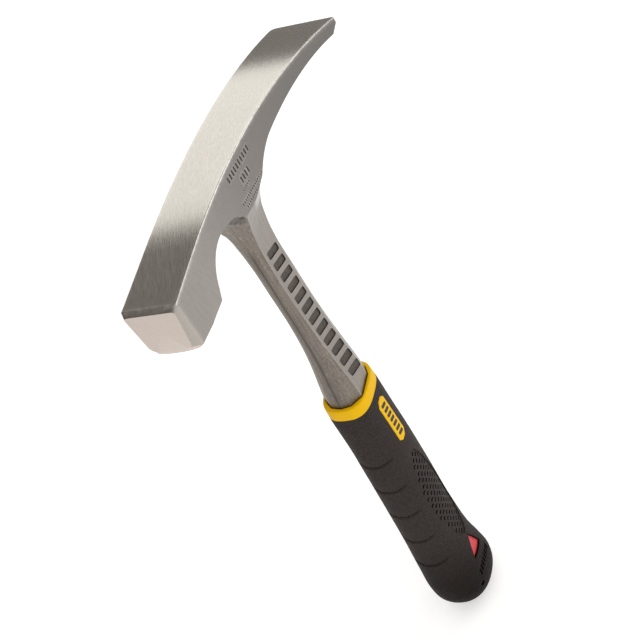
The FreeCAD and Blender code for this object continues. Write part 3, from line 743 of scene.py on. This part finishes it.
def buildTang():
    # outline seen from the side, with a round root between the tines, carried through its thickness
    radius = (tang["back"] - tang["front"] - 2 * tang["tine"]) / 2
    middle = (tang["back"] + tang["front"]) / 2
    a = np.linspace(0, np.pi, 17)
    arch = np.column_stack([middle + radius * np.cos(a), tang["root"] + radius * np.sin(a)])
    front, back, tine, end, top = (tang[k] for k in ("front", "back", "tine", "end", "top"))
    outline = np.vstack([[(front, top), (front, end), (front + tine, end)], arch[::-1],
                         [(back - tine, end), (back, end), (back, top)]])
    count = len(outline)
    near = np.column_stack([outline[:, 0], np.full(count, -tang["half"]), outline[:, 1]])
    far = near * [1, -1, 1]
    c = np.arange(count)
    faces = gridFaces(2, count)[:, ::-1].tolist() + [c.tolist(), (count + c[::-1]).tolist()]
    return finishMesh("fork_tang", np.vstack([near, far]), faces, [forgedBack], None,
                      {"edge": np.zeros(2 * count)}, 30)


forkTang = buildTang()

for piece in (hammerHead, hammerShank, forkTang):
    belong(piece, "forged_head_and_shank")


grip = {
    "top": 142.0, "wall": 3.0, "innerFoot": 6.4,
    "grooves": (110.0, 93.0, 76.0, 59.0, 42.5), "grooveDepth": 0.55, "grooveWidth": 0.42,
    "swell": 0.35, "swellReach": 3.6, "rise": 2.8, "grooveSide": 9.2,
    "bendHalf": 11.5, "bendPower": 2.2, "bendFrom": (30, 8), "bendTo": (128, 10), "columns": 232,
    "roundness": 2.25, "topRoundness": 2.8,
}
# height, front and back from the axis, half thickness
gripStations = np.array([
    (0.0, -3.0, 3.0, 0.0), (0.12, 1.3, 7.4, 3.5), (0.8, 4.9, 11.4, 6.3), (2.84, 8.8, 15.6, 9.1),
    (6.39, 12.8, 19.0, 11.8), (12.8, 16.6, 20.5, 13.6), (21.3, 18.3, 19.2, 13.8),
    (34.0, 18.0, 16.7, 12.9), (55.4, 16.4, 15.8, 12.0), (85.2, 14.6, 16.8, 11.7),
    (113.6, 13.2, 17.0, 11.35), (142.0, 12.35, 15.65, 10.45), (149.6, 12.0, 15.3, 10.1),
])
# distance along the skin from the butt to each station
gripRun = np.concatenate([[0], np.cumsum(np.hypot(*np.diff(gripStations[:, [0, 3]], axis=0).T))])


def roundnessAt(z):
    # the outline's power grows squarer over the last 28 mm below the collar
    share = np.clip((z - 112) / 28, 0, 1) ** 2
    return grip["roundness"] + (grip["topRoundness"] - grip["roundness"]) * share


def gripSize(z):
    # front, back and half thickness at a height
    return curveThrough(gripStations[1:], np.ravel(z))


def gripHalf(x, z):
    # half thickness of the grip's skin at a point seen from the side
    front, back, half = gripSize(z).T
    middle, reach = (back - front) / 2, (back + front) / 2
    n = roundnessAt(np.ravel(z))
    away = np.clip(np.abs(np.ravel(x) - middle) / reach, 0, 0.995)
    return (half * (1 - away**n) ** (1 / n)).reshape(np.shape(x))


def gripRows():
    # row spacing, finer where a finger groove crosses
    fine = np.concatenate([np.arange(g - 3.0, g + 4.6, 0.26) for g in grip["grooves"]])
    runAtZ = np.interp(fine, gripStations[:, 0], gripRun)
    end = np.interp(grip["top"], gripStations[:, 0], gripRun)
    coarse = np.concatenate([np.linspace(0.35, 16, 26), np.arange(16.8, end, 0.95), [end]])
    near = np.min(np.abs(coarse[:, None] - runAtZ[None]), 1)
    return np.sort(np.concatenate([coarse[near > 0.45], runAtZ]))


def gripRing(z, front, back, half, angle):
    # a superellipse about the middle between front and back
    n = 2 / roundnessAt(z)[:, None]
    c, s = np.cos(angle)[None], np.sin(angle)[None]
    middle, reach = (back - front)[:, None] / 2, (back + front)[:, None] / 2
    x = middle + reach * np.sign(c) * np.abs(c) ** n
    y = half[:, None] * np.sign(s) * np.abs(s) ** n
    return x, y


def gripGrid():
    angle = np.linspace(0, 2 * np.pi, grip["columns"], endpoint=False)
    run = gripRows()
    z, front, back, half = curveThrough(np.column_stack([gripRun, gripStations]), run).T
    z = np.maximum(z, 0)
    x, y = gripRing(z, front, back, half, angle)
    # rows bend up towards the sides, as the grooves do
    lift = grip["rise"] * np.clip(np.abs(y) / grip["bendHalf"], 0, 1) ** grip["bendPower"]
    (low, lowFade), (high, highFade) = grip["bendFrom"], grip["bendTo"]
    zone = np.clip((z - low) / lowFade, 0, 1) * np.clip((high - z) / highFade, 0, 1)
    warpedZ = z[:, None] + lift * zone[:, None]
    sizes = gripSize(warpedZ.ravel()).reshape(*warpedZ.shape, 3)
    scaleX = (sizes[..., 0] + sizes[..., 1]) / (front + back)[:, None]
    middle = (sizes[..., 1] - sizes[..., 0]) / 2
    flatMiddle = (back - front)[:, None] / 2
    warped = zone[:, None] > 0
    x = np.where(warped, middle + (x - flatMiddle) * scaleX, x)
    y = np.where(warped, y * sizes[..., 2] / half[:, None], y)
    # a groove is a narrow notch; the skin above it dips gently towards it
    gap = z[:, None, None] - np.array(grip["grooves"])[None, None, :]
    notch = grip["grooveDepth"] * np.exp(-((gap / grip["grooveWidth"]) ** 2))
    dip = grip["swell"] * np.exp(-np.abs(gap) / grip["swellReach"]) * (gap > 0)
    frontness = np.clip((grip["grooveSide"] - np.abs(y)) / 3.0, 0, 1) * (x < middle)
    inward = ((notch + dip).sum(-1)) * frontness
    nx = (x - middle) / np.maximum(scaleX * (front + back)[:, None] / 2, 1e-6) ** 2
    ny = y / sizes[..., 2] ** 2
    long = np.hypot(nx, ny)
    x, y = x - inward * nx / long, y - inward * ny / long
    outer = np.stack([x, y, warpedZ], -1)
    # the wall turns in at the top and runs down inside
    innerZ = np.concatenate([[grip["top"]], np.linspace(grip["top"] - 1, 14, 60),
                             grip["innerFoot"] + 7.6 * (1 - np.sin(np.linspace(0, np.pi / 2, 12)[1:]))])
    size = gripSize(np.maximum(innerZ, 14))
    shrink = np.concatenate([np.ones(61), np.cos(np.linspace(0, np.pi / 2, 12)[1:]).clip(0.08)])
    wall = grip["wall"]
    mid, reach = (size[:, 1] - size[:, 0]) / 2, (size[:, 1] + size[:, 0]) / 2 - wall
    ix, iy = gripRing(innerZ, reach * shrink - mid, reach * shrink + mid,
                      (size[:, 2] - wall) * shrink, angle)
    inner = np.stack([ix, iy, np.repeat(innerZ[:, None], len(angle), 1)], -1)
    return outer, inner


def moulded(name, look):
    # moulded rubber or plastic: a fine spark-eroded grain, a cloudy tone and a dusty lift
    look = {"roughnessSpread": 0.1, "cloud": 0.3, "sheen": 0.0, **look}
    material, tree, shader, where = startMaterial(name, 0.0, look["roughness"])
    grain = placeGroup(tree, toneGroup, Vector=where, Scale=look["grainScale"])
    cloud = placeGroup(tree, toneGroup, Vector=where, Scale=look["cloudScale"])
    colour = mixColour(tree, grain, look["dark"], look["light"])
    colour = mixColour(tree, calc(tree, "MULTIPLY", cloud, look["cloud"]), colour, look["tint"])
    if "footShade" in look:
        # painted shade: darker towards the butt, by height
        height = add(tree, "ShaderNodeSeparateXYZ", {"Vector": where}).outputs["Z"]
        low = add(tree, "ShaderNodeMapRange", {
            "Value": height, "From Min": 7 * mm, "From Max": 56 * mm, "To Min": 1.0, "To Max": 0.0})
        colour = mixColour(tree, low.outputs["Result"], colour, look["footShade"])
    setInputs(tree, shader, {
        "Base Color": colour, "Normal": bumps(tree, grain, look["bump"]),
        "Roughness": spreadRoughness(tree, grain, look["roughness"], look["roughnessSpread"]),
        "Specular IOR Level": look["specular"], "Sheen Weight": look["sheen"],
        "Sheen Roughness": 0.35})
    return material


gripRubber = moulded("gripRubber", {
    "roughness": 0.6, "roughnessSpread": 0.14, "grainScale": 1300.0, "cloudScale": 55.0,
    "dark": (0.029, 0.0235, 0.0212), "light": (0.070, 0.0575, 0.0545), "tint": (0.045, 0.036, 0.034),
    "footShade": (0.004, 0.0024, 0.0018), "bump": 0.16, "specular": 0.03, "sheen": 0.05})
# painted shade: near-black rubber for the faces that the cuts leave in the seats, pin holes, bars and
# notches
recessShadeRubber = moulded("recessShadeRubber", {
    "roughness": 0.8, "grainScale": 1500.0, "cloudScale": 80.0,
    "dark": (0.004, 0.0035, 0.003), "light": (0.009, 0.008, 0.007), "tint": (0.006, 0.005, 0.005),
    "bump": 0.05, "specular": 0.03})
yellowPlastic = moulded("yellowPlastic", {
    "roughness": 0.5, "grainScale": 2600.0, "cloudScale": 70.0,
    "dark": (0.97, 0.55, 0.0), "light": (1.0, 0.61, 0.0), "tint": (0.98, 0.54, 0.0),
    "bump": 0.02, "specular": 0.12})
redPlastic = moulded("redPlastic", {
    "roughness": 0.4, "grainScale": 1900.0, "cloudScale": 120.0, "cloud": 0.35,
    "dark": (0.62, 0.036, 0.05), "light": (0.76, 0.06, 0.075), "tint": (0.64, 0.045, 0.06),
    "bump": 0.04, "specular": 0.2})
blackInk = moulded("blackInk", {
    "roughness": 0.5, "grainScale": 2200.0, "cloudScale": 300.0,
    "dark": (0.012, 0.011, 0.010), "light": (0.022, 0.020, 0.018), "tint": (0.016, 0.014, 0.013),
    "bump": 0.02, "specular": 0.4})
corePlastic = moulded("corePlastic", {
    "roughness": 0.48, "roughnessSpread": 0.12, "grainScale": 1400.0, "cloudScale": 60.0, "cloud": 0.4,
    "dark": (0.10, 0.10, 0.105), "light": (0.15, 0.15, 0.155), "tint": (0.12, 0.12, 0.12),
    "bump": 0.05, "specular": 0.5})
softDamper = moulded("softDamper", {
    "roughness": 0.7, "roughnessSpread": 0.12, "grainScale": 1100.0, "cloudScale": 90.0, "cloud": 0.4,
    "dark": (0.02, 0.02, 0.02), "light": (0.04, 0.04, 0.04), "tint": (0.03, 0.028, 0.026),
    "bump": 0.08, "specular": 0.3})


def buildGrip():
    outer, inner = gripGrid()
    grid = np.concatenate([outer, inner])
    points, faces = ringShell(grid, firstPole=np.array([3.0, 0.0, 0.0]))
    return finishMesh("grip_skin", points, faces, [gripRubber, recessShadeRubber],
                      np.zeros(len(faces)), None, 35)


gripSkin = buildGrip()
print("grip:", len(gripSkin.data.polygons), "faces")

pad = {
    "outline": ((-0.7, 102.3), (-3.0, 99.6), (-5.0, 94.0), (-6.9, 86.0), (-7.5, 78.0), (-7.8, 68.0),
                (-6.4, 57.0), (-4.7, 49.0), (-1.6, 43.4), (0.6, 41.6), (2.6, 42.0), (4.8, 45.0),
                (7.4, 50.7), (10.2, 56.8), (11.0, 63.4), (10.4, 73.0), (8.6, 82.4), (6.6, 91.0),
                (3.8, 99.0), (1.6, 102.6)),
    "floor": 0.15, "fall": 0.034, "rowRise": 4.75, "pitch": 3.05,
    "along": (0.587, -0.810), "across": (0.915, 0.403), "halfWide": 1.12, "halfTall": 1.02,
    "line": (1.08, 0.5), "sink": 1.0, "edgeRoom": 0.55,
}
plate = {"front": -2.0, "back": 5.2, "low": 111.4, "high": 137.4, "corner": 2.1, "depth": 1.2}
window = {"corners": ((-4.4, 28.0), (7.1, 26.8), (1.5, 38.9)), "depth": 2.2}
pinHoles = {"places": ((-8.0, 13.8), (13.0, 12.7)), "radius": 1.2, "depth": 2.8}
buttBars = {"count": 8, "middleX": 1.2, "middleZ": 21.0, "radius": 24.0, "spread": 17.5,
            "wide": 1.4, "tall": 4.0, "slant": 0.3, "depth": 0.45}


def plateLoop(spare):
    a, b = plate["front"] - spare, plate["back"] + spare
    low, high, c = plate["low"] - spare, plate["high"] + spare, plate["corner"]
    corners = [(a + c, low), (b - c, low), (b, low + c), (b, high - c), (b - c, high), (a + c, high),
               (a, high - c), (a, low + c)]
    return cornerLoop(corners, 8, 1)


def windowLoop(spare):
    corners = np.array(window["corners"])
    middle = corners.mean(0)
    away = corners - middle
    corners = middle + away * (1 + spare / np.hypot(*away.T).mean() * 1.6)
    loop = cornerLoop(corners, 16, 4)
    # the sides bow out a little: most where a side is nearest the middle
    toMiddle = loop - middle
    reach = np.hypot(*toMiddle.T)
    return middle + toMiddle * (1 + 0.12 * (1 - reach / reach.max()))[:, None]


def padHalf(x, z):
    # the pad's floor lies under the skin, deepest along its back edge
    return gripHalf(x, z) - pad["floor"] - pad["fall"] * (x + 8)


def inLoop(points, loop):
    # even-odd test of points against a closed loop, and their distance from its points
    x, z = points[:, 0:1], points[:, 1:2]
    a, b = loop[None], np.roll(loop, -1, 0)[None]
    crosses = (a[..., 1] > z) != (b[..., 1] > z)
    rise = np.where(crosses, b[..., 1] - a[..., 1], 1)
    at = a[..., 0] + (z - a[..., 1]) * (b[..., 0] - a[..., 0]) / rise
    inside = ((crosses & (x < at)).sum(1) % 2) == 1
    return inside, np.min(np.hypot(x - a[..., 0], z - a[..., 1]), 1)


def padLoops():
    # C-shaped notches on slanting rows: each an arc band, open towards the back
    outline = closedCurve(pad["outline"], 160)
    i, j = np.meshgrid(np.arange(-14, 15), np.arange(-10, 11))
    along, across = np.array(pad["along"]), np.array(pad["across"])
    centres = (np.array([0.5, 72.0]) + i.ravel()[:, None] * pad["pitch"] * along
               + j.ravel()[:, None] * pad["rowRise"] * np.array([0.0, 1.0]))
    inside, room = inLoop(centres, outline)
    centres = centres[inside & (room > pad["edgeRoom"])]
    a = np.radians(np.linspace(62, 298, 9))
    outerBand = np.column_stack([pad["halfWide"] * np.cos(a), pad["halfTall"] * np.sin(a)])
    lineWide, lineTall = pad["line"]
    innerBand = np.column_stack([(pad["halfWide"] - lineWide) * np.cos(a),
                                 (pad["halfTall"] - lineTall) * np.sin(a)])[::-1]
    shape = np.vstack([outerBand, innerBand])
    shape = shape[:, 0:1] * along + shape[:, 1:2] * across
    return outline, centres, shape


def bandShells(centres, shape, low, high, side):
    # each band is a strip of quads, so its shell is walls round it and a strip top and bottom
    count = len(shape)
    flat = centres[:, None] + shape[None]
    if side > 0:
        flat = flat[:, ::-1]
    skin = padHalf(flat[..., 0], flat[..., 1])
    bottom = np.stack([flat[..., 0], side * (skin + low), flat[..., 1]], -1)
    top = np.stack([flat[..., 0], side * (skin + high), flat[..., 1]], -1)
    points = np.concatenate([bottom, top], 1).reshape(-1, 3)
    ahead = np.roll(shape, -1, 0)
    clockwise = np.sum(shape[:, 0] * ahead[:, 1] - ahead[:, 0] * shape[:, 1]) < 0
    k = np.arange(count // 2 - 1)
    lower = np.stack([k, count - 1 - k, count - 2 - k, k + 1], -1)
    upper = np.stack([k, k + 1, count - 2 - k, count - 1 - k], -1) + count
    faces = np.concatenate([gridFaces(2, count), lower, upper])
    if clockwise:
        faces = faces[:, ::-1]
    shift = (np.arange(len(centres)) * 2 * count)[:, None, None]
    return points, (faces[None] + shift).reshape(-1, 4).tolist()


def carveGrip():
    outline, centres, shape = padLoops()
    circle = np.radians(np.arange(0, 360, 15))
    pins = (np.array(pinHoles["places"])[:, None]
            + pinHoles["radius"] * np.column_stack([np.cos(circle), np.sin(circle)]))
    pinSteps = pocket(pinHoles["depth"], 0.98, 0.8, inner=0.6)
    plateSteps, windowSteps = (pocket(seat["depth"], 1.0, 0.8) for seat in (plate, window))
    padSteps = [(share, 0.0) for share in (0.2, 0.4, 0.6, 0.8, 0.9, 1.0)] + [(1.0, 2.0)]
    cuts = []
    # slot 1, the near-black rubber, darkens the cut faces as painted shade
    for side in (-1, 1):
        cuts.append((sideShells([plateLoop(0.12)], plateSteps, gripHalf, side), 1))
        cuts.append((sideShells([windowLoop(0.1)], windowSteps, gripHalf, side), 1))
        cuts.append((sideShells(pins, pinSteps, gripHalf, side), 1))
        cuts.append((sideShells([outline], padSteps, padHalf, side), 0))
    carve(gripSkin, cuts)
    notches = [bandShells(centres, shape, -pad["sink"], 0.9, side) for side in (-1, 1)]
    b = buttBars
    turn = np.radians(np.linspace(-b["spread"], b["spread"], b["count"]))
    barCentres = np.column_stack([b["middleX"] + b["radius"] * np.sin(turn),
                                  b["middleZ"] + b["radius"] * (np.cos(turn) - 1)])
    bars = slantedBars(barCentres, b["wide"], b["tall"], b["slant"])
    barSteps = pocket(b["depth"], 0.95, 0.6)
    for side in (-1, 1):
        notches.append(sideShells(bars, barSteps, gripHalf, side))
    carve(gripSkin, [(shell, 1) for shell in notches])
    return len(centres)


print("grip is carved, pad notches on a side:", carveGrip())
belong(gripSkin, "grip_sleeve")


def platePiece(name, loop, lifts, side, materials, node):
    points, faces = sideShells([loop], lifts, gripHalf, side)
    piece = finishMesh(name, points, faces, materials, np.zeros(len(faces)), None, 40)
    belong(piece, node)
    return piece


# rings of a plate and of an insert: share of the outline, and height above the grip's skin
plateLifts = [(0.5, -1.1), (0.97, -1.1), (1.0, -1.0), (1.0, -0.05), (0.985, 0.08), (0.96, 0.16),
              (0.93, 0.18), (0.75, 0.18), (0.5, 0.18), (0.25, 0.18)]
windowLifts = [(0.5, -2.1), (1.0, -2.1), (1.0, -1.05), (0.97, -0.92), (0.92, -0.88), (0.6, -0.86),
               (0.3, -0.86)]
dashRow = {"count": 7, "x": 1.6, "low": 115.4, "high": 133.4, "wide": 4.2, "tall": 1.9, "slant": -1.1,
           "floor": 0.06}
dashZ = np.linspace(dashRow["low"], dashRow["high"], dashRow["count"])
dashes = slantedBars(np.column_stack([np.full(dashRow["count"], dashRow["x"]), dashZ]),
                     dashRow["wide"], dashRow["tall"], dashRow["slant"])
for name, side in (("left", -1), ("right", 1)):
    yellow = platePiece("label_plate_piece_" + name, plateLoop(0.0), plateLifts, side,
                        [yellowPlastic, blackInk], "label_plate_" + name)
    carve(yellow, [(sideShells(dashes, pocket(-dashRow["floor"], 0.97, 0.8), gripHalf, side), 1)])
    platePiece("window_insert_piece_" + name, windowLoop(0.0), windowLifts, side, [redPlastic],
               "window_insert_" + name)

# the collar is a ring whose outside follows the grip and whose hole follows the steel
collar = {"low": 142.06, "high": 147.9, "gap": 0.3, "outEdge": 1.0, "inEdge": 0.25}


def buildCollar():
    # outer wall up, rounded edge, level top, rounded edge, hole down and back underneath
    angle = np.linspace(0, 2 * np.pi, 240, endpoint=False)
    steel = shankRings(np.array([146.5]))[0][:, :2]
    centre = np.array([1.6, 0.0])
    ahead = np.roll(steel, -1, 0) - np.roll(steel, 1, 0)
    normal = np.column_stack([ahead[:, 1], -ahead[:, 0]]) / np.hypot(*ahead.T)[:, None]
    hole = steel + normal * collar["gap"] - centre
    turn = np.unwrap(np.arctan2(hole[:, 1], hole[:, 0]))
    order = np.argsort(turn % (2 * np.pi))
    holeReach = np.interp(angle, (turn % (2 * np.pi))[order], np.hypot(*hole.T)[order], period=2 * np.pi)
    low, high, out, inn = collar["low"], collar["high"], collar["outEdge"], collar["inEdge"]
    z = [low + 0.12, low + 1.5, low + 3, low + 4, high - out, high - 0.3 * out, high - 0.08 * out, high,
         high, high - 0.3 * inn, high - inn, high - 3, low, low]
    inset = [0, 0, 0, 0, 0, 0.08 * out, 0.3 * out, out, None, None, None, None, None, 0.12]
    holeInset = [None] * 8 + [inn, 0.3 * inn, 0, 0, 0, None]
    rows = []
    for height, shrink, widen in zip(z, inset, holeInset):
        front, back, half = gripSize(np.array([height])).T
        x, y = gripRing(np.array([142.0]), front, back, half, angle)
        outline = np.column_stack([x[0], y[0]]) - centre
        reach = np.hypot(*outline.T)
        around = np.arctan2(outline[:, 1], outline[:, 0]) % (2 * np.pi)
        order = np.argsort(around)
        outerReach = np.interp(angle, around[order], reach[order], period=2 * np.pi)
        r = outerReach - shrink if widen is None else holeReach + widen
        rows.append(np.column_stack([centre[0] + r * np.cos(angle), r * np.sin(angle),
                                     np.full(len(angle), height)]))
    grid = np.array(rows)
    faces = gridFaces(len(rows), len(angle), wrapRows=True).tolist()
    piece = finishMesh("collar_ring", grid.reshape(-1, 3), faces, [yellowPlastic], None, None, 35)
    belong(piece, "collar")


buildCollar()
hiddenLooks = (("handle_core", corePlastic), ("fork_boot", softDamper), ("fork_damper", softDamper))
for node, material in hiddenLooks:
    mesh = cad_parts[node].data
    mesh.materials.clear()
    mesh.materials.append(material)
print("plates, inserts and collar are in place")


def buildFloor():
    # a wide level disc, lit softly from within so that it stays pale
    a = np.linspace(0, 2 * np.pi, 64, endpoint=False)
    r = np.array([150.0, 400.0, 700.0, 1050.0])[:, None]
    grid = np.stack([r * np.cos(a), r * np.sin(a), -0.02 + 0 * r * a], -1)
    points, faces = ringShell(grid[::-1])
    faces = faces[: len(a) * 3] + faces[len(a) * 4:]
    material, tree, shader, where = startMaterial("paleFloor", 0.0, 0.85)
    speck = placeGroup(tree, toneGroup, Vector=where, Scale=3.0)
    setInputs(tree, shader, {
        "Base Color": mixColour(tree, speck, (0.86, 0.86, 0.86), (0.88, 0.88, 0.88)),
        "Emission Color": (1.0, 0.995, 0.985, 1.0), "Emission Strength": 0.53,
        "Specular IOR Level": 0.1})
    floor = finishMesh("floor", points, faces, [material])


buildFloor()

studioWorld = bpy.data.worlds.new("studio")
scene.world = studioWorld
studioWorld.use_nodes = True
worldTree = studioWorld.node_tree
worldTree.nodes.clear()
roomLight = add(worldTree, "ShaderNodeBackground", {"Color": (1.0, 0.925, 0.87, 1), "Strength": 0.27})
backdrop = add(worldTree, "ShaderNodeBackground", {"Color": (1, 1, 1, 1), "Strength": 1.1})
seen = add(worldTree, "ShaderNodeLightPath").outputs["Is Camera Ray"]
both = add(worldTree, "ShaderNodeMixShader", {0: seen, 1: roomLight.outputs[0], 2: backdrop.outputs[0]})
add(worldTree, "ShaderNodeOutputWorld", {"Surface": both.outputs[0]})


def standAt(thing, right, up, back, place):
    # the object's three axes and its place
    matrix = np.eye(4)
    matrix[:3] = np.column_stack([right, up, back, place])
    thing.matrix_world = Matrix(matrix.tolist())
    scene.collection.objects.link(thing)


def softbox(name, place, aim, width, height, brightness, colour=(1, 1, 1)):
    # rectangular lamp; its power follows from its area and the brightness of its face
    data = bpy.data.lights.new(name, "AREA")
    data.shape = "RECTANGLE"
    data.size, data.size_y = width, height
    data.energy = brightness * math.pi * width * height
    data.color = colour
    lamp = bpy.data.objects.new(name, data)
    away = np.array(place, float) - np.array(aim, float)
    back = away / np.linalg.norm(away)
    right = np.cross([0, 0, 1], back)
    right /= np.linalg.norm(right)
    lamp.visible_camera = False
    standAt(lamp, right, np.cross(back, right), back, place)


softbox("crownLight", (0.782, 0.441, 0.565), (0.045, 0.015, 0.21), 1.0, 0.522, 1.17, (1.0, 0.99, 0.95))
softbox("ceilingLight", (-0.5, -0.4, 2.1), (0, 0, 0), 1.9, 1.9, 1.3)
softbox("frontLight", (-1.3, -1.5, 0.9), (0, 0, 0.15), 1.2, 1.2, 1.7, (1.0, 0.985, 0.96))
softbox("backLight", (1.2, -0.8, 0.8), (0, 0, 0.2), 0.9, 1.3, 1.4)

camera = {"azimuth": -54.75, "elevation": 40.69, "roll": -32.26, "distance": 0.84469,
          "target": (0.01103, 0.0, 0.17999), "lens": 115.74}


def placeCamera():
    # stands off along its back axis from the target, then rolls about it
    a, e, r = (math.radians(camera[k]) for k in ("azimuth", "elevation", "roll"))
    back = np.array([math.sin(a) * math.cos(e), -math.cos(a) * math.cos(e), math.sin(e)])
    level = np.array([math.cos(a), math.sin(a), 0])
    up = np.cross(back, level)
    data = bpy.data.cameras.new("camera")
    data.lens = camera["lens"]
    data.sensor_width = 36
    data.clip_start = 0.01
    viewer = bpy.data.objects.new("camera", data)
    standAt(viewer, level * math.cos(r) + up * math.sin(r), up * math.cos(r) - level * math.sin(r), back,
            np.array(camera["target"]) + back * camera["distance"])
    scene.camera = viewer


placeCamera()
